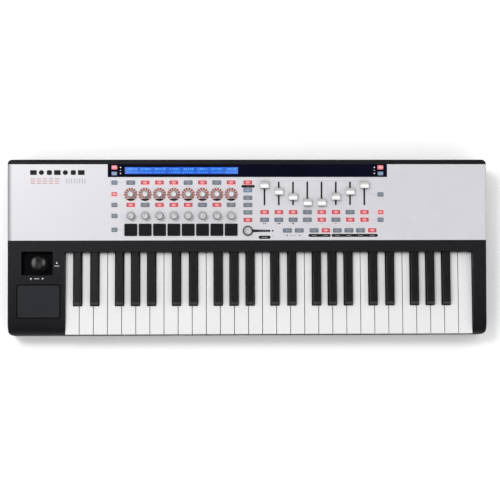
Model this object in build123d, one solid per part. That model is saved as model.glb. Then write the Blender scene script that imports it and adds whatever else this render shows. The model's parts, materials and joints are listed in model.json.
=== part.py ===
"""Keyboard controller with 49 keys, a sloping control panel, a joystick and a touch pad.

Millimetres. +X runs along the keys towards the high notes, +Y to the rear, +Z up.
The origin is under the middle of the case, on the surface the feet stand on.
"""
from build123d import *
from math import atan, cos, degrees, radians, sin, tan
import os

# Case
WIDTH = 799
DEPTH = 291.4
CORNER = 7.5
WALL = 3
FOOT_HEIGHT = 4
SEAM_Z = 30
FRONT_LIP_Z = 28
EDGE_ROUND = 4
FRONT_Y = -DEPTH / 2
REAR_Y = DEPTH / 2
FLOOR_Z = FOOT_HEIGHT + WALL
ABOVE = 100
PAST = 1
DIVIDER_Y = 65
DIVIDER_THICK = 2.5
DIVIDER_Z = 45
LIP_RIB_REAR_Y = -139
LIP_RIB_Z = 20

# Control panel: a slope that rises from the keys to the rear strip
PANEL_FRONT_Y = 11
PANEL_REAR_Y = 137.4
PANEL_FRONT_Z = 73
PANEL_TILT = 4
PANEL_THICK = 2.5
PANEL_APRON = 2
PANEL_APRON_Z = 62

# Cheeks beside the keys, with a rolled front edge
CHEEK_FRONT_Z = 64
CHEEK_TILT = degrees(atan((PANEL_FRONT_Z - CHEEK_FRONT_Z) / (PANEL_FRONT_Y - FRONT_Y)))
CHEEK_ROLL = 22
BAR_FRONT_Y = -8
BAR_UNDER_Z = 60.5

# Keys
WHITE_COUNT = 29
WHITE_PITCH = 23.5
KEY_LEFT_X = -304.9
KEY_RIGHT_X = KEY_LEFT_X + WHITE_COUNT * WHITE_PITCH
KEY_GAP = 1.0
WHITE_TOP_Z = 58
WHITE_BODY_Z = 46
WHITE_SKIRT_Z = 40
WHITE_FRONT_Y = -144.8
KEY_REAR_Y = -9
KEY_WALL = 1.8
KEY_FRONT_THICK = 2.4
KEY_TOP_THICK = 2.4
WHITE_NOSE_ROUND = 2.2
WHITE_EDGE_ROUND = 0.7
BLACK_TOP_Z = 70
BLACK_FRONT_Y = -97
BLACK_BASE_WIDTH = 13.7
BLACK_TOP_WIDTH = 10.6
BLACK_NOSE_RUN = 5
BLACK_REAR_DROP = 1.5
BLACK_EDGE_ROUND = 1.3
BLACK_CORE_HALF = 3.9
BLACK_TOP_THICK = 5
BLACK_CLEARANCE = 0.9
BLACK_CENTRES = {"c_sharp": 0.885, "d_sharp": 2.095, "f_sharp": 3.85, "g_sharp": 4.975, "a_sharp": 6.12}
WHITE_NOTES = ["c", "d", "e", "f", "g", "a", "b"]
BAY_LEFT_X = KEY_LEFT_X - 0.3
BAY_RIGHT_X = KEY_RIGHT_X + 0.3

# Key pivot, a rounded ridge across the key frame, and what sits under the keys
PIVOT_Y = 45
PIVOT_Z = 44
PIVOT_RADIUS = 2.5
PIVOT_CLEARANCE = 0.1
PIVOT_RELIEF = 0.8
KEY_TRAVEL = 3
LEVER_WIDTH = 9
LEVER_TOP_Z = 56
LEVER_END = 7
FRAME_Z = 12
FRAME_THICK = 2
FRAME_TOP_Z = FRAME_Z + FRAME_THICK
FRAME_FRONT_Y = -136
FRAME_REAR_Y = 57
FRAME_RIB_YS = (-134, -66, 0, 53)
FRAME_RIB_THICK = 3
WHITE_POST = dict(half=3, y0=-126, y1=-122, top=42)
BLACK_POST = dict(half=2.5, y0=-84, y1=-80, top=46)
CONTACT_Y = -48
CONTACT_TOP_Z = 24
CONTACT_BOARD_Z = 18
CONTACT_BOARD_HALF = 12
CONTACT_STRIP_HALF = 8
CONTACT_STRIP_THICK = 1.4
CONTACT_DOME_RADIUS = 3
ACTUATOR_GAP = 0.4
SPRING_Y = 22
SPRING_TOP_Z = 44.5
SPRING_RADII = (2.3, 1.7)

# Control layout, in plan
MIDDLE_X = -0.4
COLUMN_PITCH = 23.85
FIRST_COLUMN = 27.85
SELECT_COLUMN = 222
ENCODER_Y = 87.4
POT_Y = 51.9
PAD_Y = 28.5
DIAL_Y = 26.6
FADER_Y = 88.8
ENCODER_BUTTON_YS = [107, 69.9]
FADER_BUTTON_YS = [57.6, 45.0]
LEFT_SELECT_YS = [107, 87.7, 69.9, 51.7, 28.7]
RIGHT_SELECT_YS = [87.0, 57.5, 44.9]
PAGE_YS = [132.3, 122.0]
CENTRE_YS = [107.1, 94.3, 81.7, 69.7, 57.3, 44.8]
BOTTOM_ROW_Y = 27.2
PRESET_XS = [65.6, 85.4]
TRANSPORT_START_X = 110.3
TRANSPORT_PITCH = 19.4

# Control sizes
BUTTON_SIZE = (13.9, 6.3)
SELECT_SIZE = (9.1, 6.3)
BUTTON_TOP = 1.6
BUTTON_BOTTOM = -6
BUTTON_GAP = 0.3
BUTTON_CORNER = 0.9
BUTTON_EDGE = 0.35
FLANGE_MARGIN = 0.8
PAD_SIZE = (20.9, 19.9)
PAD_TOP = 2.2
PAD_BOTTOM = -5.4
PAD_CORNER = 1.5
PAD_EDGE = 0.6
PAD_SENSOR = (19, 18)
OPENING = (-4, 2)
ENCODER_CAP = dict(base=6.6, top=5.4, low=1.2, high=14.5)
POT_CAP = dict(base=6.9, top=5.9, low=0.8, high=11.5)
DIAL_CAP = dict(base=6.6, top=6.0, low=0.8, high=8.5)
POT_POINTERS = [-150, -20, -35, 60, 120, 130, 0, 40]
KNOB_DISH = 0.4
FLUTE_RADIUS = 0.7
POINTER_SLOT = (1.1, 1.2, 0.7)
SHAFT_RADIUS = 3
SHAFT_CLEARANCE = 0.08
SHAFT_HOLE = SHAFT_RADIUS + 0.6
ENCODER_BODY = 12
POT_BODY = 11
BODY_TOP = -6
RING_RADIUS = 11
RING_TOP = 0.6
FADER_SLOT = (3.0, 39.4)
FADER_TRACK = (9, 50)
FADER_GROOVE = (1.8, 37)
FADER_FOOT = 1.2
FADER_SKIRT = 3.2
FADER_STEM = (1.4, 4.0, 8)
FADER_CAP = (13.2, 12.7)
FADER_CAP_TOP = 9.8
FADER_SCOOP = 6.4
FADER_RESTS = [14, 3.2, -5.6, -15, -15, -5.4, 3.2, 14]

# Display window along the panel's rear edge
WINDOW_HALF = 232.8
WINDOW_FRONT_Y = 116.3
WINDOW_LAYER = (-2.2, 0.3)
WINDOW_GAP = 0.2
LCD_X = (-204.9, -16.7)
LCD_Y = (121.2, 132.7)
LCD_FRAME = (8, 16)
LCD_FRAME_LAYER = (-7, -2.5)

# Boards under the panel, measured along the panel's normal
BOARD_TOP = -12
BOARD_THICK = 1.6
PANEL_BOARD_Y = 65
PANEL_BOARD = (478, 96)
MAIN_BOARD_HALF = 160
MAIN_BOARD_Y = (74, 112)
MAIN_BOARD_Z = 10
SWITCH_SIZE = (6, 6)
SWITCH_TOP = -7

# Joystick and touch pad on the left cheek
WELL_X = -350.5
STICK_X = -347.5
STICK_Y = -27
STICK_PIVOT_Z = 44
WELL_SIZE = (52.2, 39.8)
WELL_FLOOR_Z = 58
WELL_WALL = 2
WELL_CORNER = 2.5
DOME_RADIUS = 22
DOME_THICK = 1.5
WELL_HOLE = 19.4
NECK_RADIUS = 4.8
THUMB_RADIUS = 12
THUMB_HEIGHT = 14.8
DOME_EDGE_ANGLE = 77
STEM_RADIUS = 3.5
HUB_SIZE = 9
HUB_PIN = (1.4, 11)
YOKE_OUTER = 23
YOKE_INNER = 16.4
YOKE_THICK = 5
YOKE_PIN = (2, 17.6)
GIMBAL_CLEARANCE = 0.05
POST_INNER = 14
POST_OUTER = 18
POST_HALF = 4
BRIDGE_HALF = 8
BRIDGE_Z = (28, 31)
TOUCH_CENTRE = (-348.2, -90.1)
TOUCH_POCKET = (73.0, 57.0)
TOUCH_PLATE = (69.6, 53.6)
TOUCH_DEPTH = 3
TOUCH_SINK = 0.4
TOUCH_CORNER = 4

# Rear sockets, screws and feet
SOCKET_Z = 34
DIN_RADIUS = 6.9
DIN_HOLE = 7.5
DIN_XS = [-290, -262]
DIN_PIN_CIRCLE = 3.75
DIN_PIN_ANGLES = (-90, -45, 0, 45, 90)
JACK_RADIUS = 3.2
JACK_HOLE = 4.6
JACK_XS = [-222, -202]
USB_X = -318
USB_MOUTH = (8.6, 7.8)
USB_HOLE = (12.4, 11.4)
DC_X = -344
DC_RADIUS = 3.1
DC_HOLE = 4.6
SWITCH_X = -367
SWITCH_SLOT = (8.6, 3.6)
SWITCH_HOLE = (9.2, 4.4)
LOCK_X = -386
LOCK_SLOT = (7.2, 3.2)
SCREW_SPOTS = [(-388, -125), (388, -125), (-388, -45), (388, -45), (-388, 60), (388, 60),
               (-388, 126), (-240, 126), (240, 126), (388, 126)]
SCREW_RADIUS = 1.5
SCREW_HEAD_RADIUS = 3
SCREW_HEAD_Z = (5.5, 8)
SCREW_TIP_Z = 42
BOSS_RADIUS = 4.5
POST_RADIUS = 4
PILOT_DEPTH = 14
FOOT_SPOTS = [(x, y) for x in (-355, 0, 355) for y in (-122, 118)]
FOOT_RADIUS = 9
FOOT_EDGE = 0.8


def block(x0, x1, y0, y1, z0, z1):
    """A box between two corners."""
    return Pos((x0 + x1) / 2, (y0 + y1) / 2, (z0 + z1) / 2) * Box(x1 - x0, y1 - y0, z1 - z0)


def rod(place, radius, low, high):
    """A cylinder along the local Z of a place, from low to high."""
    return place * Pos(0, 0, (low + high) / 2) * Cylinder(radius, high - low)


def panel(x, y, rise=0.0):
    """The place on the panel's surface above a plan point, raised along the panel's normal."""
    z = PANEL_FRONT_Z + (y - PANEL_FRONT_Y) * tan(radians(PANEL_TILT))
    return Pos(x, y, z) * Rot(PANEL_TILT, 0, 0) * Pos(0, 0, rise)


def cheek(x, y, rise=0.0):
    """The same for the surface of the cheeks."""
    z = PANEL_FRONT_Z + (y - PANEL_FRONT_Y) * tan(radians(CHEEK_TILT))
    return Pos(x, y, z) * Rot(CHEEK_TILT, 0, 0) * Pos(0, 0, rise)


def plate(place, size, low, high, corner=0.0):
    """A flat block on a place, from low to high along its normal, with rounded plan corners."""
    outline = RectangleRounded(*size, corner) if corner else Rectangle(*size)
    return place * Pos(0, 0, low) * extrude(outline, high - low)


def envelope(inset=0.0, edge=0.0):
    """The whole case's outer shape above the seam, shrunk by inset, with rounded top edges."""
    front, rear = FRONT_Y + inset, REAR_Y - inset
    cheek_rise = tan(radians(CHEEK_TILT))
    panel_rise = tan(radians(PANEL_TILT))
    crest = PANEL_FRONT_Z - inset
    profile = Plane.YZ * make_face(Polyline(
        (front, 0),
        (front, crest + (front - PANEL_FRONT_Y) * cheek_rise),
        (PANEL_FRONT_Y, crest),
        (rear, crest + (rear - PANEL_FRONT_Y) * panel_rise),
        (rear, 0),
        close=True,
    ))
    solid = extrude(profile, WIDTH / 2 - inset, both=True)
    nose = solid.edges().filter_by(Axis.X).group_by(Axis.Y)[0].sort_by(Axis.Z)[-1]
    solid = fillet(nose, CHEEK_ROLL - inset)
    plan = RectangleRounded(WIDTH - 2 * inset, DEPTH - 2 * inset, CORNER - inset)
    solid = solid & extrude(plan, ABOVE)
    if edge:
        solid = round_top(solid, edge)
    return solid


def round_top(solid, radius):
    """Round the edges where the case's top meets its sides and rear."""
    rims = [e for e in solid.edges()
            if abs(abs(e.center().X) - WIDTH / 2) < 3 and e.center().Z > SEAM_Z
            and e.length > 40 and abs(e.bounding_box().size.Y) > 40]
    return fillet(rims, radius)


OUTER = envelope(edge=EDGE_ROUND)


def merge(shapes):
    """One solid from overlapping pieces."""
    first, *rest = shapes
    return first.fuse(*rest) if rest else first


def save(name, shapes):
    """Write one piece, or a group of like separate pieces, to its own file."""
    shapes = shapes if isinstance(shapes, list) else [shapes]
    solids = [s for shape in shapes for s in shape.solids()]
    group = solids[0] if len(solids) == 1 else Compound(children=solids)
    group.label = name
    export_step(group, f"parts/{name}.step")


# Places of the controls ------------------------------------------------------

LEFT_COLUMNS = [MIDDLE_X - FIRST_COLUMN - (7 - i) * COLUMN_PITCH for i in range(8)]
RIGHT_COLUMNS = [MIDDLE_X + FIRST_COLUMN + i * COLUMN_PITCH for i in range(8)]
TRANSPORT_XS = [TRANSPORT_START_X + i * TRANSPORT_PITCH for i in range(6)]

PAGE_SPOTS = [(MIDDLE_X + side * SELECT_COLUMN, y) for side in (-1, 1) for y in PAGE_YS]
ROW_SPOTS = ([(MIDDLE_X - SELECT_COLUMN, y) for y in LEFT_SELECT_YS]
             + [(MIDDLE_X + SELECT_COLUMN, y) for y in RIGHT_SELECT_YS])
MODE_SPOTS = ([(MIDDLE_X, y) for y in CENTRE_YS] + [(x, BOTTOM_ROW_Y) for x in PRESET_XS]
              + [(x, BOTTOM_ROW_Y) for x in TRANSPORT_XS])
BUTTONS = {
    "encoder_buttons": (BUTTON_SIZE, [(x, y) for y in ENCODER_BUTTON_YS for x in LEFT_COLUMNS]),
    "fader_buttons": (BUTTON_SIZE, [(x, y) for y in FADER_BUTTON_YS for x in RIGHT_COLUMNS]),
    "select_buttons": (SELECT_SIZE, PAGE_SPOTS + ROW_SPOTS),
    "mode_buttons": (BUTTON_SIZE, MODE_SPOTS),
}
PAD_SPOTS = [(x, PAD_Y) for x in LEFT_COLUMNS]
ENCODER_SPOTS = [(x, ENCODER_Y) for x in LEFT_COLUMNS]
POT_SPOTS = [(x, POT_Y) for x in LEFT_COLUMNS]
FADER_SPOTS = [(x, FADER_Y) for x in RIGHT_COLUMNS]


# Case shells -----------------------------------------------------------------

def screw_boss(x, y):
    """A boss on the case floor with a clear hole and a recess for the screw head."""
    return rod(Pos(x, y, 0), BOSS_RADIUS, FLOOR_Z - PAST, SEAM_Z)


def screw_holes(x, y):
    """The clear hole through a boss, and the recess for the head."""
    head = rod(Pos(x, y, 0), SCREW_HEAD_RADIUS + 0.3, 0, SCREW_HEAD_Z[1])
    return rod(Pos(x, y, 0), SCREW_RADIUS + 0.2, 0, SEAM_Z + PAST) + head


def screw_posts(spots):
    """Posts that hang from a top shell down to the seam, with pilot holes for the screws."""
    inside = envelope(inset=PAST)
    posts = []
    for x, y in spots:
        post = rod(Pos(x, y, 0), POST_RADIUS, SEAM_Z, ABOVE) & inside
        posts.append(post - rod(Pos(x, y, 0), SCREW_RADIUS, SEAM_Z - PAST, SEAM_Z + PILOT_DEPTH))
    return posts


def bottom_case():
    inside = (WIDTH - 2 * WALL, DEPTH - 2 * WALL)
    tub = plate(Pos(0, 0, 0), (WIDTH, DEPTH), FOOT_HEIGHT, SEAM_Z, CORNER)
    tub -= plate(Pos(0, 0, 0), inside, FLOOR_Z, SEAM_Z + PAST, CORNER - WALL)
    tub -= block(BAY_LEFT_X, BAY_RIGHT_X, FRONT_Y - PAST, FRONT_Y + WALL + PAST, FRONT_LIP_Z, SEAM_Z + PAST)
    # the rear wall, with the black strip along the top
    strip = OUTER & block(-WIDTH, WIDTH, PANEL_REAR_Y, REAR_Y + PAST, SEAM_Z - 2, ABOVE)
    strip -= envelope(inset=WALL) & block(-WIDTH, WIDTH, 0, REAR_Y - WALL, SEAM_Z - 3, ABOVE)
    case = tub.fuse(strip)
    divider = block(-WIDTH / 2 + WALL, WIDTH / 2 - WALL, DIVIDER_Y, DIVIDER_Y + DIVIDER_THICK,
                    FLOOR_Z - PAST, DIVIDER_Z)
    ribs = [block(x - 1, x + 1, FRONT_Y + WALL - PAST, LIP_RIB_REAR_Y, FLOOR_Z - PAST, LIP_RIB_Z)
            for x in range(-300, 301, 100)]
    case = case.fuse(divider, *ribs, *[screw_boss(x, y) for x, y in SCREW_SPOTS])
    for x, y in SCREW_SPOTS:
        case -= screw_holes(x, y)
    return case - rear_openings()


def rear_openings():
    """The holes in the rear wall, one for each socket, the switch and the lock slot."""
    round_holes = [(x, DIN_HOLE) for x in DIN_XS] + [(x, JACK_HOLE) for x in JACK_XS] + [(DC_X, DC_HOLE)]
    cuts = [rod(rear_place(x, 0), radius, -WALL - PAST, PAST) for x, radius in round_holes]
    for x, size in ((USB_X, USB_HOLE), (SWITCH_X, SWITCH_HOLE), (LOCK_X, LOCK_SLOT)):
        cuts.append(rear_box(x, *size, -WALL - PAST, PAST))
    return merge(cuts)


def rear_place(x, depth):
    """A place on the socket line, depth inside the rear wall's outer face, with local Z to the rear."""
    return Pos(x, REAR_Y - depth, SOCKET_Z) * Rot(-90, 0, 0)


def rear_box(x, width, height, low, high):
    """A box in the rear wall, centred on the socket line."""
    return block(x - width / 2, x + width / 2, REAR_Y + low, REAR_Y + high,
                 SOCKET_Z - height / 2, SOCKET_Z + height / 2)


def front_surround():
    """The black moulding: left and right cheeks joined by the bar behind the keys."""
    shell = OUTER & block(-WIDTH, WIDTH, FRONT_Y - PAST, PANEL_FRONT_Y, SEAM_Z, ABOVE)
    shell -= block(BAY_LEFT_X, BAY_RIGHT_X, FRONT_Y - PAST, BAR_FRONT_Y, 0, ABOVE)
    shell -= block(BAY_LEFT_X, BAY_RIGHT_X, BAR_FRONT_Y - PAST, PANEL_FRONT_Y + PAST, 0, BAR_UNDER_Z)
    inside = envelope(inset=WALL)
    left_hollow = block(-WIDTH, BAY_LEFT_X - WALL, -DEPTH, DEPTH, 0, ABOVE)
    right_hollow = block(BAY_RIGHT_X + WALL, WIDTH, -DEPTH, DEPTH, 0, ABOVE)
    bar_hollow = block(BAY_LEFT_X - WALL, BAY_RIGHT_X + WALL, BAR_FRONT_Y + WALL, DEPTH, 0, ABOVE)
    shell -= inside & (left_hollow + right_hollow + bar_hollow)
    shell = shell.fuse(*screw_posts([s for s in SCREW_SPOTS if s[1] < 0]))
    shell = joystick_well(shell)
    return touch_pocket(shell)


def joystick_well(shell):
    """Sink a well into the left cheek, with a round opening for the joystick."""
    place = Pos(WELL_X, STICK_Y, 0)
    width, length = WELL_SIZE
    outside = (width + 2 * WELL_WALL, length + 2 * WELL_WALL)
    block_up = plate(place, outside, WELL_FLOOR_Z - WELL_WALL, ABOVE, WELL_CORNER + WELL_WALL)
    shell = shell.fuse(block_up & envelope(inset=PAST))
    shell -= plate(place, WELL_SIZE, WELL_FLOOR_Z, ABOVE, WELL_CORNER)
    return shell - rod(Pos(STICK_X, STICK_Y, 0), WELL_HOLE, SEAM_Z, ABOVE)


def touch_pocket(shell):
    """Sink a shallow pocket for the touch pad plate."""
    place = cheek(*TOUCH_CENTRE)
    rim = (TOUCH_POCKET[0] + 4, TOUCH_POCKET[1] + 4)
    shell = shell.fuse(plate(place, rim, -TOUCH_DEPTH - PANEL_THICK, -PAST, TOUCH_CORNER + 1))
    return shell - plate(place, TOUCH_POCKET, -TOUCH_DEPTH, PAST, TOUCH_CORNER)


def control_panel():
    """The silver moulding over the electronics, with an opening for every control."""
    shell = OUTER & block(-WIDTH, WIDTH, PANEL_FRONT_Y, PANEL_REAR_Y, SEAM_Z, ABOVE)
    inside = envelope(inset=PANEL_THICK)
    shell -= inside & block(-WIDTH, WIDTH, 0, REAR_Y, 0, PANEL_APRON_Z)
    shell -= inside & block(-WIDTH, WIDTH, PANEL_FRONT_Y + PANEL_APRON, REAR_Y, 0, ABOVE)
    shell = shell.fuse(*screw_posts([s for s in SCREW_SPOTS if s[1] > 0]))
    cuts = []
    for (width, length), spots in BUTTONS.values():
        opening = (width + 2 * BUTTON_GAP, length + 2 * BUTTON_GAP)
        cuts += [plate(panel(x, y), opening, *OPENING, 1) for x, y in spots if (x, y) not in PAGE_SPOTS]
    pad_opening = (PAD_SIZE[0] + 2 * BUTTON_GAP, PAD_SIZE[1] + 2 * BUTTON_GAP)
    cuts += [plate(panel(x, y), pad_opening, *OPENING, PAD_CORNER + BUTTON_GAP) for x, y in PAD_SPOTS]
    cuts += [rod(panel(x, y), RING_RADIUS + 0.1, *OPENING) for x, y in ENCODER_SPOTS]
    cuts += [rod(panel(x, y), SHAFT_HOLE, *OPENING) for x, y in POT_SPOTS + [(MIDDLE_X, DIAL_Y)]]
    cuts += [plate(panel(x, y), FADER_SLOT, *OPENING, 1.2) for x, y in FADER_SPOTS]
    cuts.append(window_outline(WINDOW_GAP, *OPENING))
    for cut in cuts:
        shell -= cut
    return shell


def window_outline(margin, low, high):
    """The display window's block, reaching past the panel's rear edge."""
    front = WINDOW_FRONT_Y - margin
    rear = PANEL_REAR_Y + 1
    length = (rear - front) / cos(radians(PANEL_TILT))
    return plate(panel(MIDDLE_X, (front + rear) / 2), (2 * (WINDOW_HALF + margin), length), low, high, 0.8)


def display_window():
    """The dark window, open over the display and around the page buttons."""
    window = window_outline(0, *WINDOW_LAYER) & block(-WIDTH, WIDTH, 0, PANEL_REAR_Y - 0.1, 0, ABOVE)
    window -= lcd_block(WINDOW_GAP, *OPENING)
    opening = (SELECT_SIZE[0] + 2 * BUTTON_GAP, SELECT_SIZE[1] + 2 * BUTTON_GAP)
    for x, y in PAGE_SPOTS:
        window -= plate(panel(x, y), opening, *OPENING, 1)
    return window


def lcd_block(margin, low, high):
    """A block over the display's clear area."""
    x, y = sum(LCD_X) / 2, sum(LCD_Y) / 2
    size = (LCD_X[1] - LCD_X[0] + 2 * margin, LCD_Y[1] - LCD_Y[0] + 2 * margin)
    return plate(panel(x, y), size, low, high)


def lcd_module():
    """The display: its glass stands in the window's opening, its frame lies underneath."""
    x, y = sum(LCD_X) / 2, sum(LCD_Y) / 2
    margin, length = LCD_FRAME
    frame = plate(panel(x, y), (LCD_X[1] - LCD_X[0] + margin, length), *LCD_FRAME_LAYER)
    return frame.fuse(lcd_block(0, LCD_FRAME_LAYER[1] - 0.5, 0))


def touchpad():
    """The touch pad's plate, just below flush in its pocket."""
    place = cheek(*TOUCH_CENTRE)
    pad = plate(place, TOUCH_PLATE, -TOUCH_DEPTH, -TOUCH_SINK, TOUCH_CORNER - 0.5)
    return fillet(pad.faces().sort_by(Axis.Z)[-1].edges(), 0.4)


# Boards, sockets and fixed bodies --------------------------------------------

def circuit_boards():
    """The panel board, the main board behind the divider, and the board under the keys."""
    width, depth = PANEL_BOARD
    size = (width, depth / cos(radians(PANEL_TILT)))
    sloped = plate(panel(MIDDLE_X, PANEL_BOARD_Y), size, BOARD_TOP - BOARD_THICK, BOARD_TOP)
    for x, y in ENCODER_SPOTS + POT_SPOTS + [(MIDDLE_X, DIAL_Y)]:
        sloped -= rod(panel(x, y), SHAFT_RADIUS + 0.5, BOARD_TOP - BOARD_THICK - PAST, BOARD_TOP + PAST)
    main = block(-MAIN_BOARD_HALF, MAIN_BOARD_HALF, *MAIN_BOARD_Y, MAIN_BOARD_Z, MAIN_BOARD_Z + BOARD_THICK)
    contact = block(KEY_LEFT_X + 4, KEY_RIGHT_X - 4, CONTACT_Y - CONTACT_BOARD_HALF,
                    CONTACT_Y + CONTACT_BOARD_HALF, CONTACT_BOARD_Z, CONTACT_BOARD_Z + BOARD_THICK)
    return [sloped, main, contact]


def shaft_bearing(x, y, size):
    """The body of an encoder or a rotary control, bored for its shaft."""
    body = plate(panel(x, y), (size, size), BOARD_TOP, BODY_TOP)
    body = body.fuse(rod(panel(x, y), SHAFT_RADIUS + 1, BODY_TOP, -PANEL_THICK - 0.6))
    return body - rod(panel(x, y), SHAFT_RADIUS + SHAFT_CLEARANCE, BOARD_TOP + 1, 0)


def slider_body(x, y):
    """The fixed track of one fader."""
    track = plate(panel(x, y), FADER_TRACK, BOARD_TOP, BODY_TOP + 1)
    return track - plate(panel(x, y), FADER_GROOVE, BOARD_TOP + 1.5, BODY_TOP + 2)


def switch_body(x, y):
    """A small push switch under a button."""
    return plate(panel(x, y), SWITCH_SIZE, BOARD_TOP, SWITCH_TOP)


def joystick_base():
    """The two posts that carry the joystick's outer gimbal."""
    low, high = BRIDGE_Z
    place = Pos(STICK_X, STICK_Y, 0)
    base = block(-BRIDGE_HALF, BRIDGE_HALF, -POST_OUTER, POST_OUTER, low, high)
    base = base.fuse(block(-POST_HALF, POST_HALF, -POST_HALF, POST_HALF, FLOOR_Z, low + 0.5))
    for y0, y1 in ((-POST_OUTER, -POST_INNER), (POST_INNER, POST_OUTER)):
        base = base.fuse(block(-POST_HALF, POST_HALF, y0, y1, high - PAST, STICK_PIVOT_Z + POST_HALF))
    pin_line = Pos(0, 0, STICK_PIVOT_Z) * Rot(90, 0, 0)
    return place * (base - rod(pin_line, YOKE_PIN[0] + GIMBAL_CLEARANCE, -POST_OUTER - 2, POST_OUTER + 2))


def control_bodies():
    """Everything fixed on the boards that a control turns, slides or presses in."""
    bodies = [shaft_bearing(x, y, ENCODER_BODY) for x, y in ENCODER_SPOTS]
    bodies += [shaft_bearing(x, y, POT_BODY) for x, y in POT_SPOTS]
    bodies.append(shaft_bearing(MIDDLE_X, DIAL_Y, ENCODER_BODY))
    bodies += [slider_body(x, y) for x, y in FADER_SPOTS]
    for _, spots in BUTTONS.values():
        bodies += [switch_body(x, y) for x, y in spots if y < WINDOW_FRONT_Y]
    bodies += [plate(panel(x, y), PAD_SENSOR, BOARD_TOP, BODY_TOP) for x, y in PAD_SPOTS]
    bodies.append(joystick_base())
    return bodies


def light_rings():
    """A light guide ring round each encoder, filling its round opening in the panel."""
    rings = []
    for x, y in ENCODER_SPOTS:
        ring = rod(panel(x, y), RING_RADIUS, -PANEL_THICK, RING_TOP)
        rings.append(ring - rod(panel(x, y), SHAFT_HOLE, *OPENING))
    return rings


def socket_block(x, width, height, depth):
    """A socket body that butts against the inside of the rear wall."""
    front = -WALL - depth
    return rear_box(x, width, height, front, -WALL)


def rear_sockets():
    """Round-pin, jack, data and power sockets in a row along the rear wall."""
    sockets = [round_pin_socket(x) for x in DIN_XS]
    for x in JACK_XS:
        sockets.append(socket_block(x, 14, 16, 26) - rod(rear_place(x, WALL), JACK_RADIUS, -20, PAST))
    inlet = rear_place(DC_X, WALL)
    power = socket_block(DC_X, 13, 13, 14) - rod(inlet, DC_RADIUS, -10, PAST)
    sockets.append(power.fuse(rod(inlet, 1.0, -10.5, -1.5)))
    data = socket_block(USB_X, 16, 15, 16)
    data -= rear_box(USB_X, *USB_MOUTH, -WALL - 11, 0)
    sockets.append(data.fuse(rear_box(USB_X, 5.6, 1.6, -WALL - 11.5, -WALL - 2)))
    switch = rear_box(SWITCH_X, 16, 9, -WALL - 8, -WALL - 2)
    sockets.append(switch - rear_box(SWITCH_X, *SWITCH_SLOT, -WALL - 6, 0))
    return sockets


def round_pin_socket(x):
    """A five-pin socket: a round mouth, with its contacts' holes round the lower half."""
    mouth = rear_place(x, WALL)
    body = socket_block(x, 20, 20, 14) - rod(mouth, DIN_RADIUS, -8.5, PAST)
    for angle in DIN_PIN_ANGLES:
        spot = Pos(DIN_PIN_CIRCLE * sin(radians(angle)), -DIN_PIN_CIRCLE * cos(radians(angle)), 0)
        body -= rod(mouth * spot, 0.8, -12, -8)
    return body


def power_switch():
    """The sliding actuator in the rear wall, below flush."""
    nub = rear_box(SWITCH_X - 2, 4, 3.2, -WALL - 5.5, -0.6)
    return fillet(nub.edges().filter_by(Axis.Z).group_by(Axis.Y)[-1], 0.5)


# Keys ------------------------------------------------------------------------

def key_units():
    """Every white key's index and note, and every black key's centre and note."""
    whites = [(i, WHITE_NOTES[i % 7]) for i in range(WHITE_COUNT)]
    octaves = (WHITE_COUNT - 1) // 7
    blacks = [(KEY_LEFT_X + (7 * o + centre) * WHITE_PITCH, note)
              for o in range(octaves) for note, centre in BLACK_CENTRES.items()]
    return whites, blacks


WHITES, BLACKS = key_units()


def notch_sides(left, right):
    """Where a white key's narrow part runs between the black keys beside it."""
    reach = BLACK_BASE_WIDTH / 2 + BLACK_CLEARANCE
    near = [x for x, _ in BLACKS]
    cut_left = [x + reach for x in near if x - reach < left < x + reach]
    cut_right = [x - reach for x in near if x - reach < right < x + reach]
    return (cut_left or [left])[0], (cut_right or [right])[0]


def lever(x):
    """The hidden part of a key: a bar back to the pivot, notched to sit on the ridge."""
    half = LEVER_WIDTH / 2
    rear_y = PIVOT_Y + LEVER_END
    arm = block(x - half, x + half, KEY_REAR_Y - 6, rear_y, WHITE_BODY_Z, LEVER_TOP_Z)
    arm = arm.fuse(block(x - half, x + half, PIVOT_Y - LEVER_END, rear_y, PIVOT_Z - 3, WHITE_BODY_Z + 1))
    seat = Pos(x, PIVOT_Y, PIVOT_Z) * Rot(0, 90, 0)
    arm -= rod(seat, PIVOT_RADIUS + PIVOT_CLEARANCE, -LEVER_WIDTH, LEVER_WIDTH)
    relief = PIVOT_RADIUS + PIVOT_RELIEF
    return arm - block(x - half - 1, x + half + 1, PIVOT_Y - relief, PIVOT_Y + relief, 0, PIVOT_Z - 0.3)


def actuator(x, width):
    """The rib inside a key that presses its rubber contact."""
    bottom = CONTACT_TOP_Z + ACTUATOR_GAP + (PIVOT_Y - CONTACT_Y) * sin(radians(KEY_TRAVEL))
    return block(x - width / 2, x + width / 2, CONTACT_Y - 1, CONTACT_Y + 1, bottom, WHITE_BODY_Z + 8)


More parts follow.
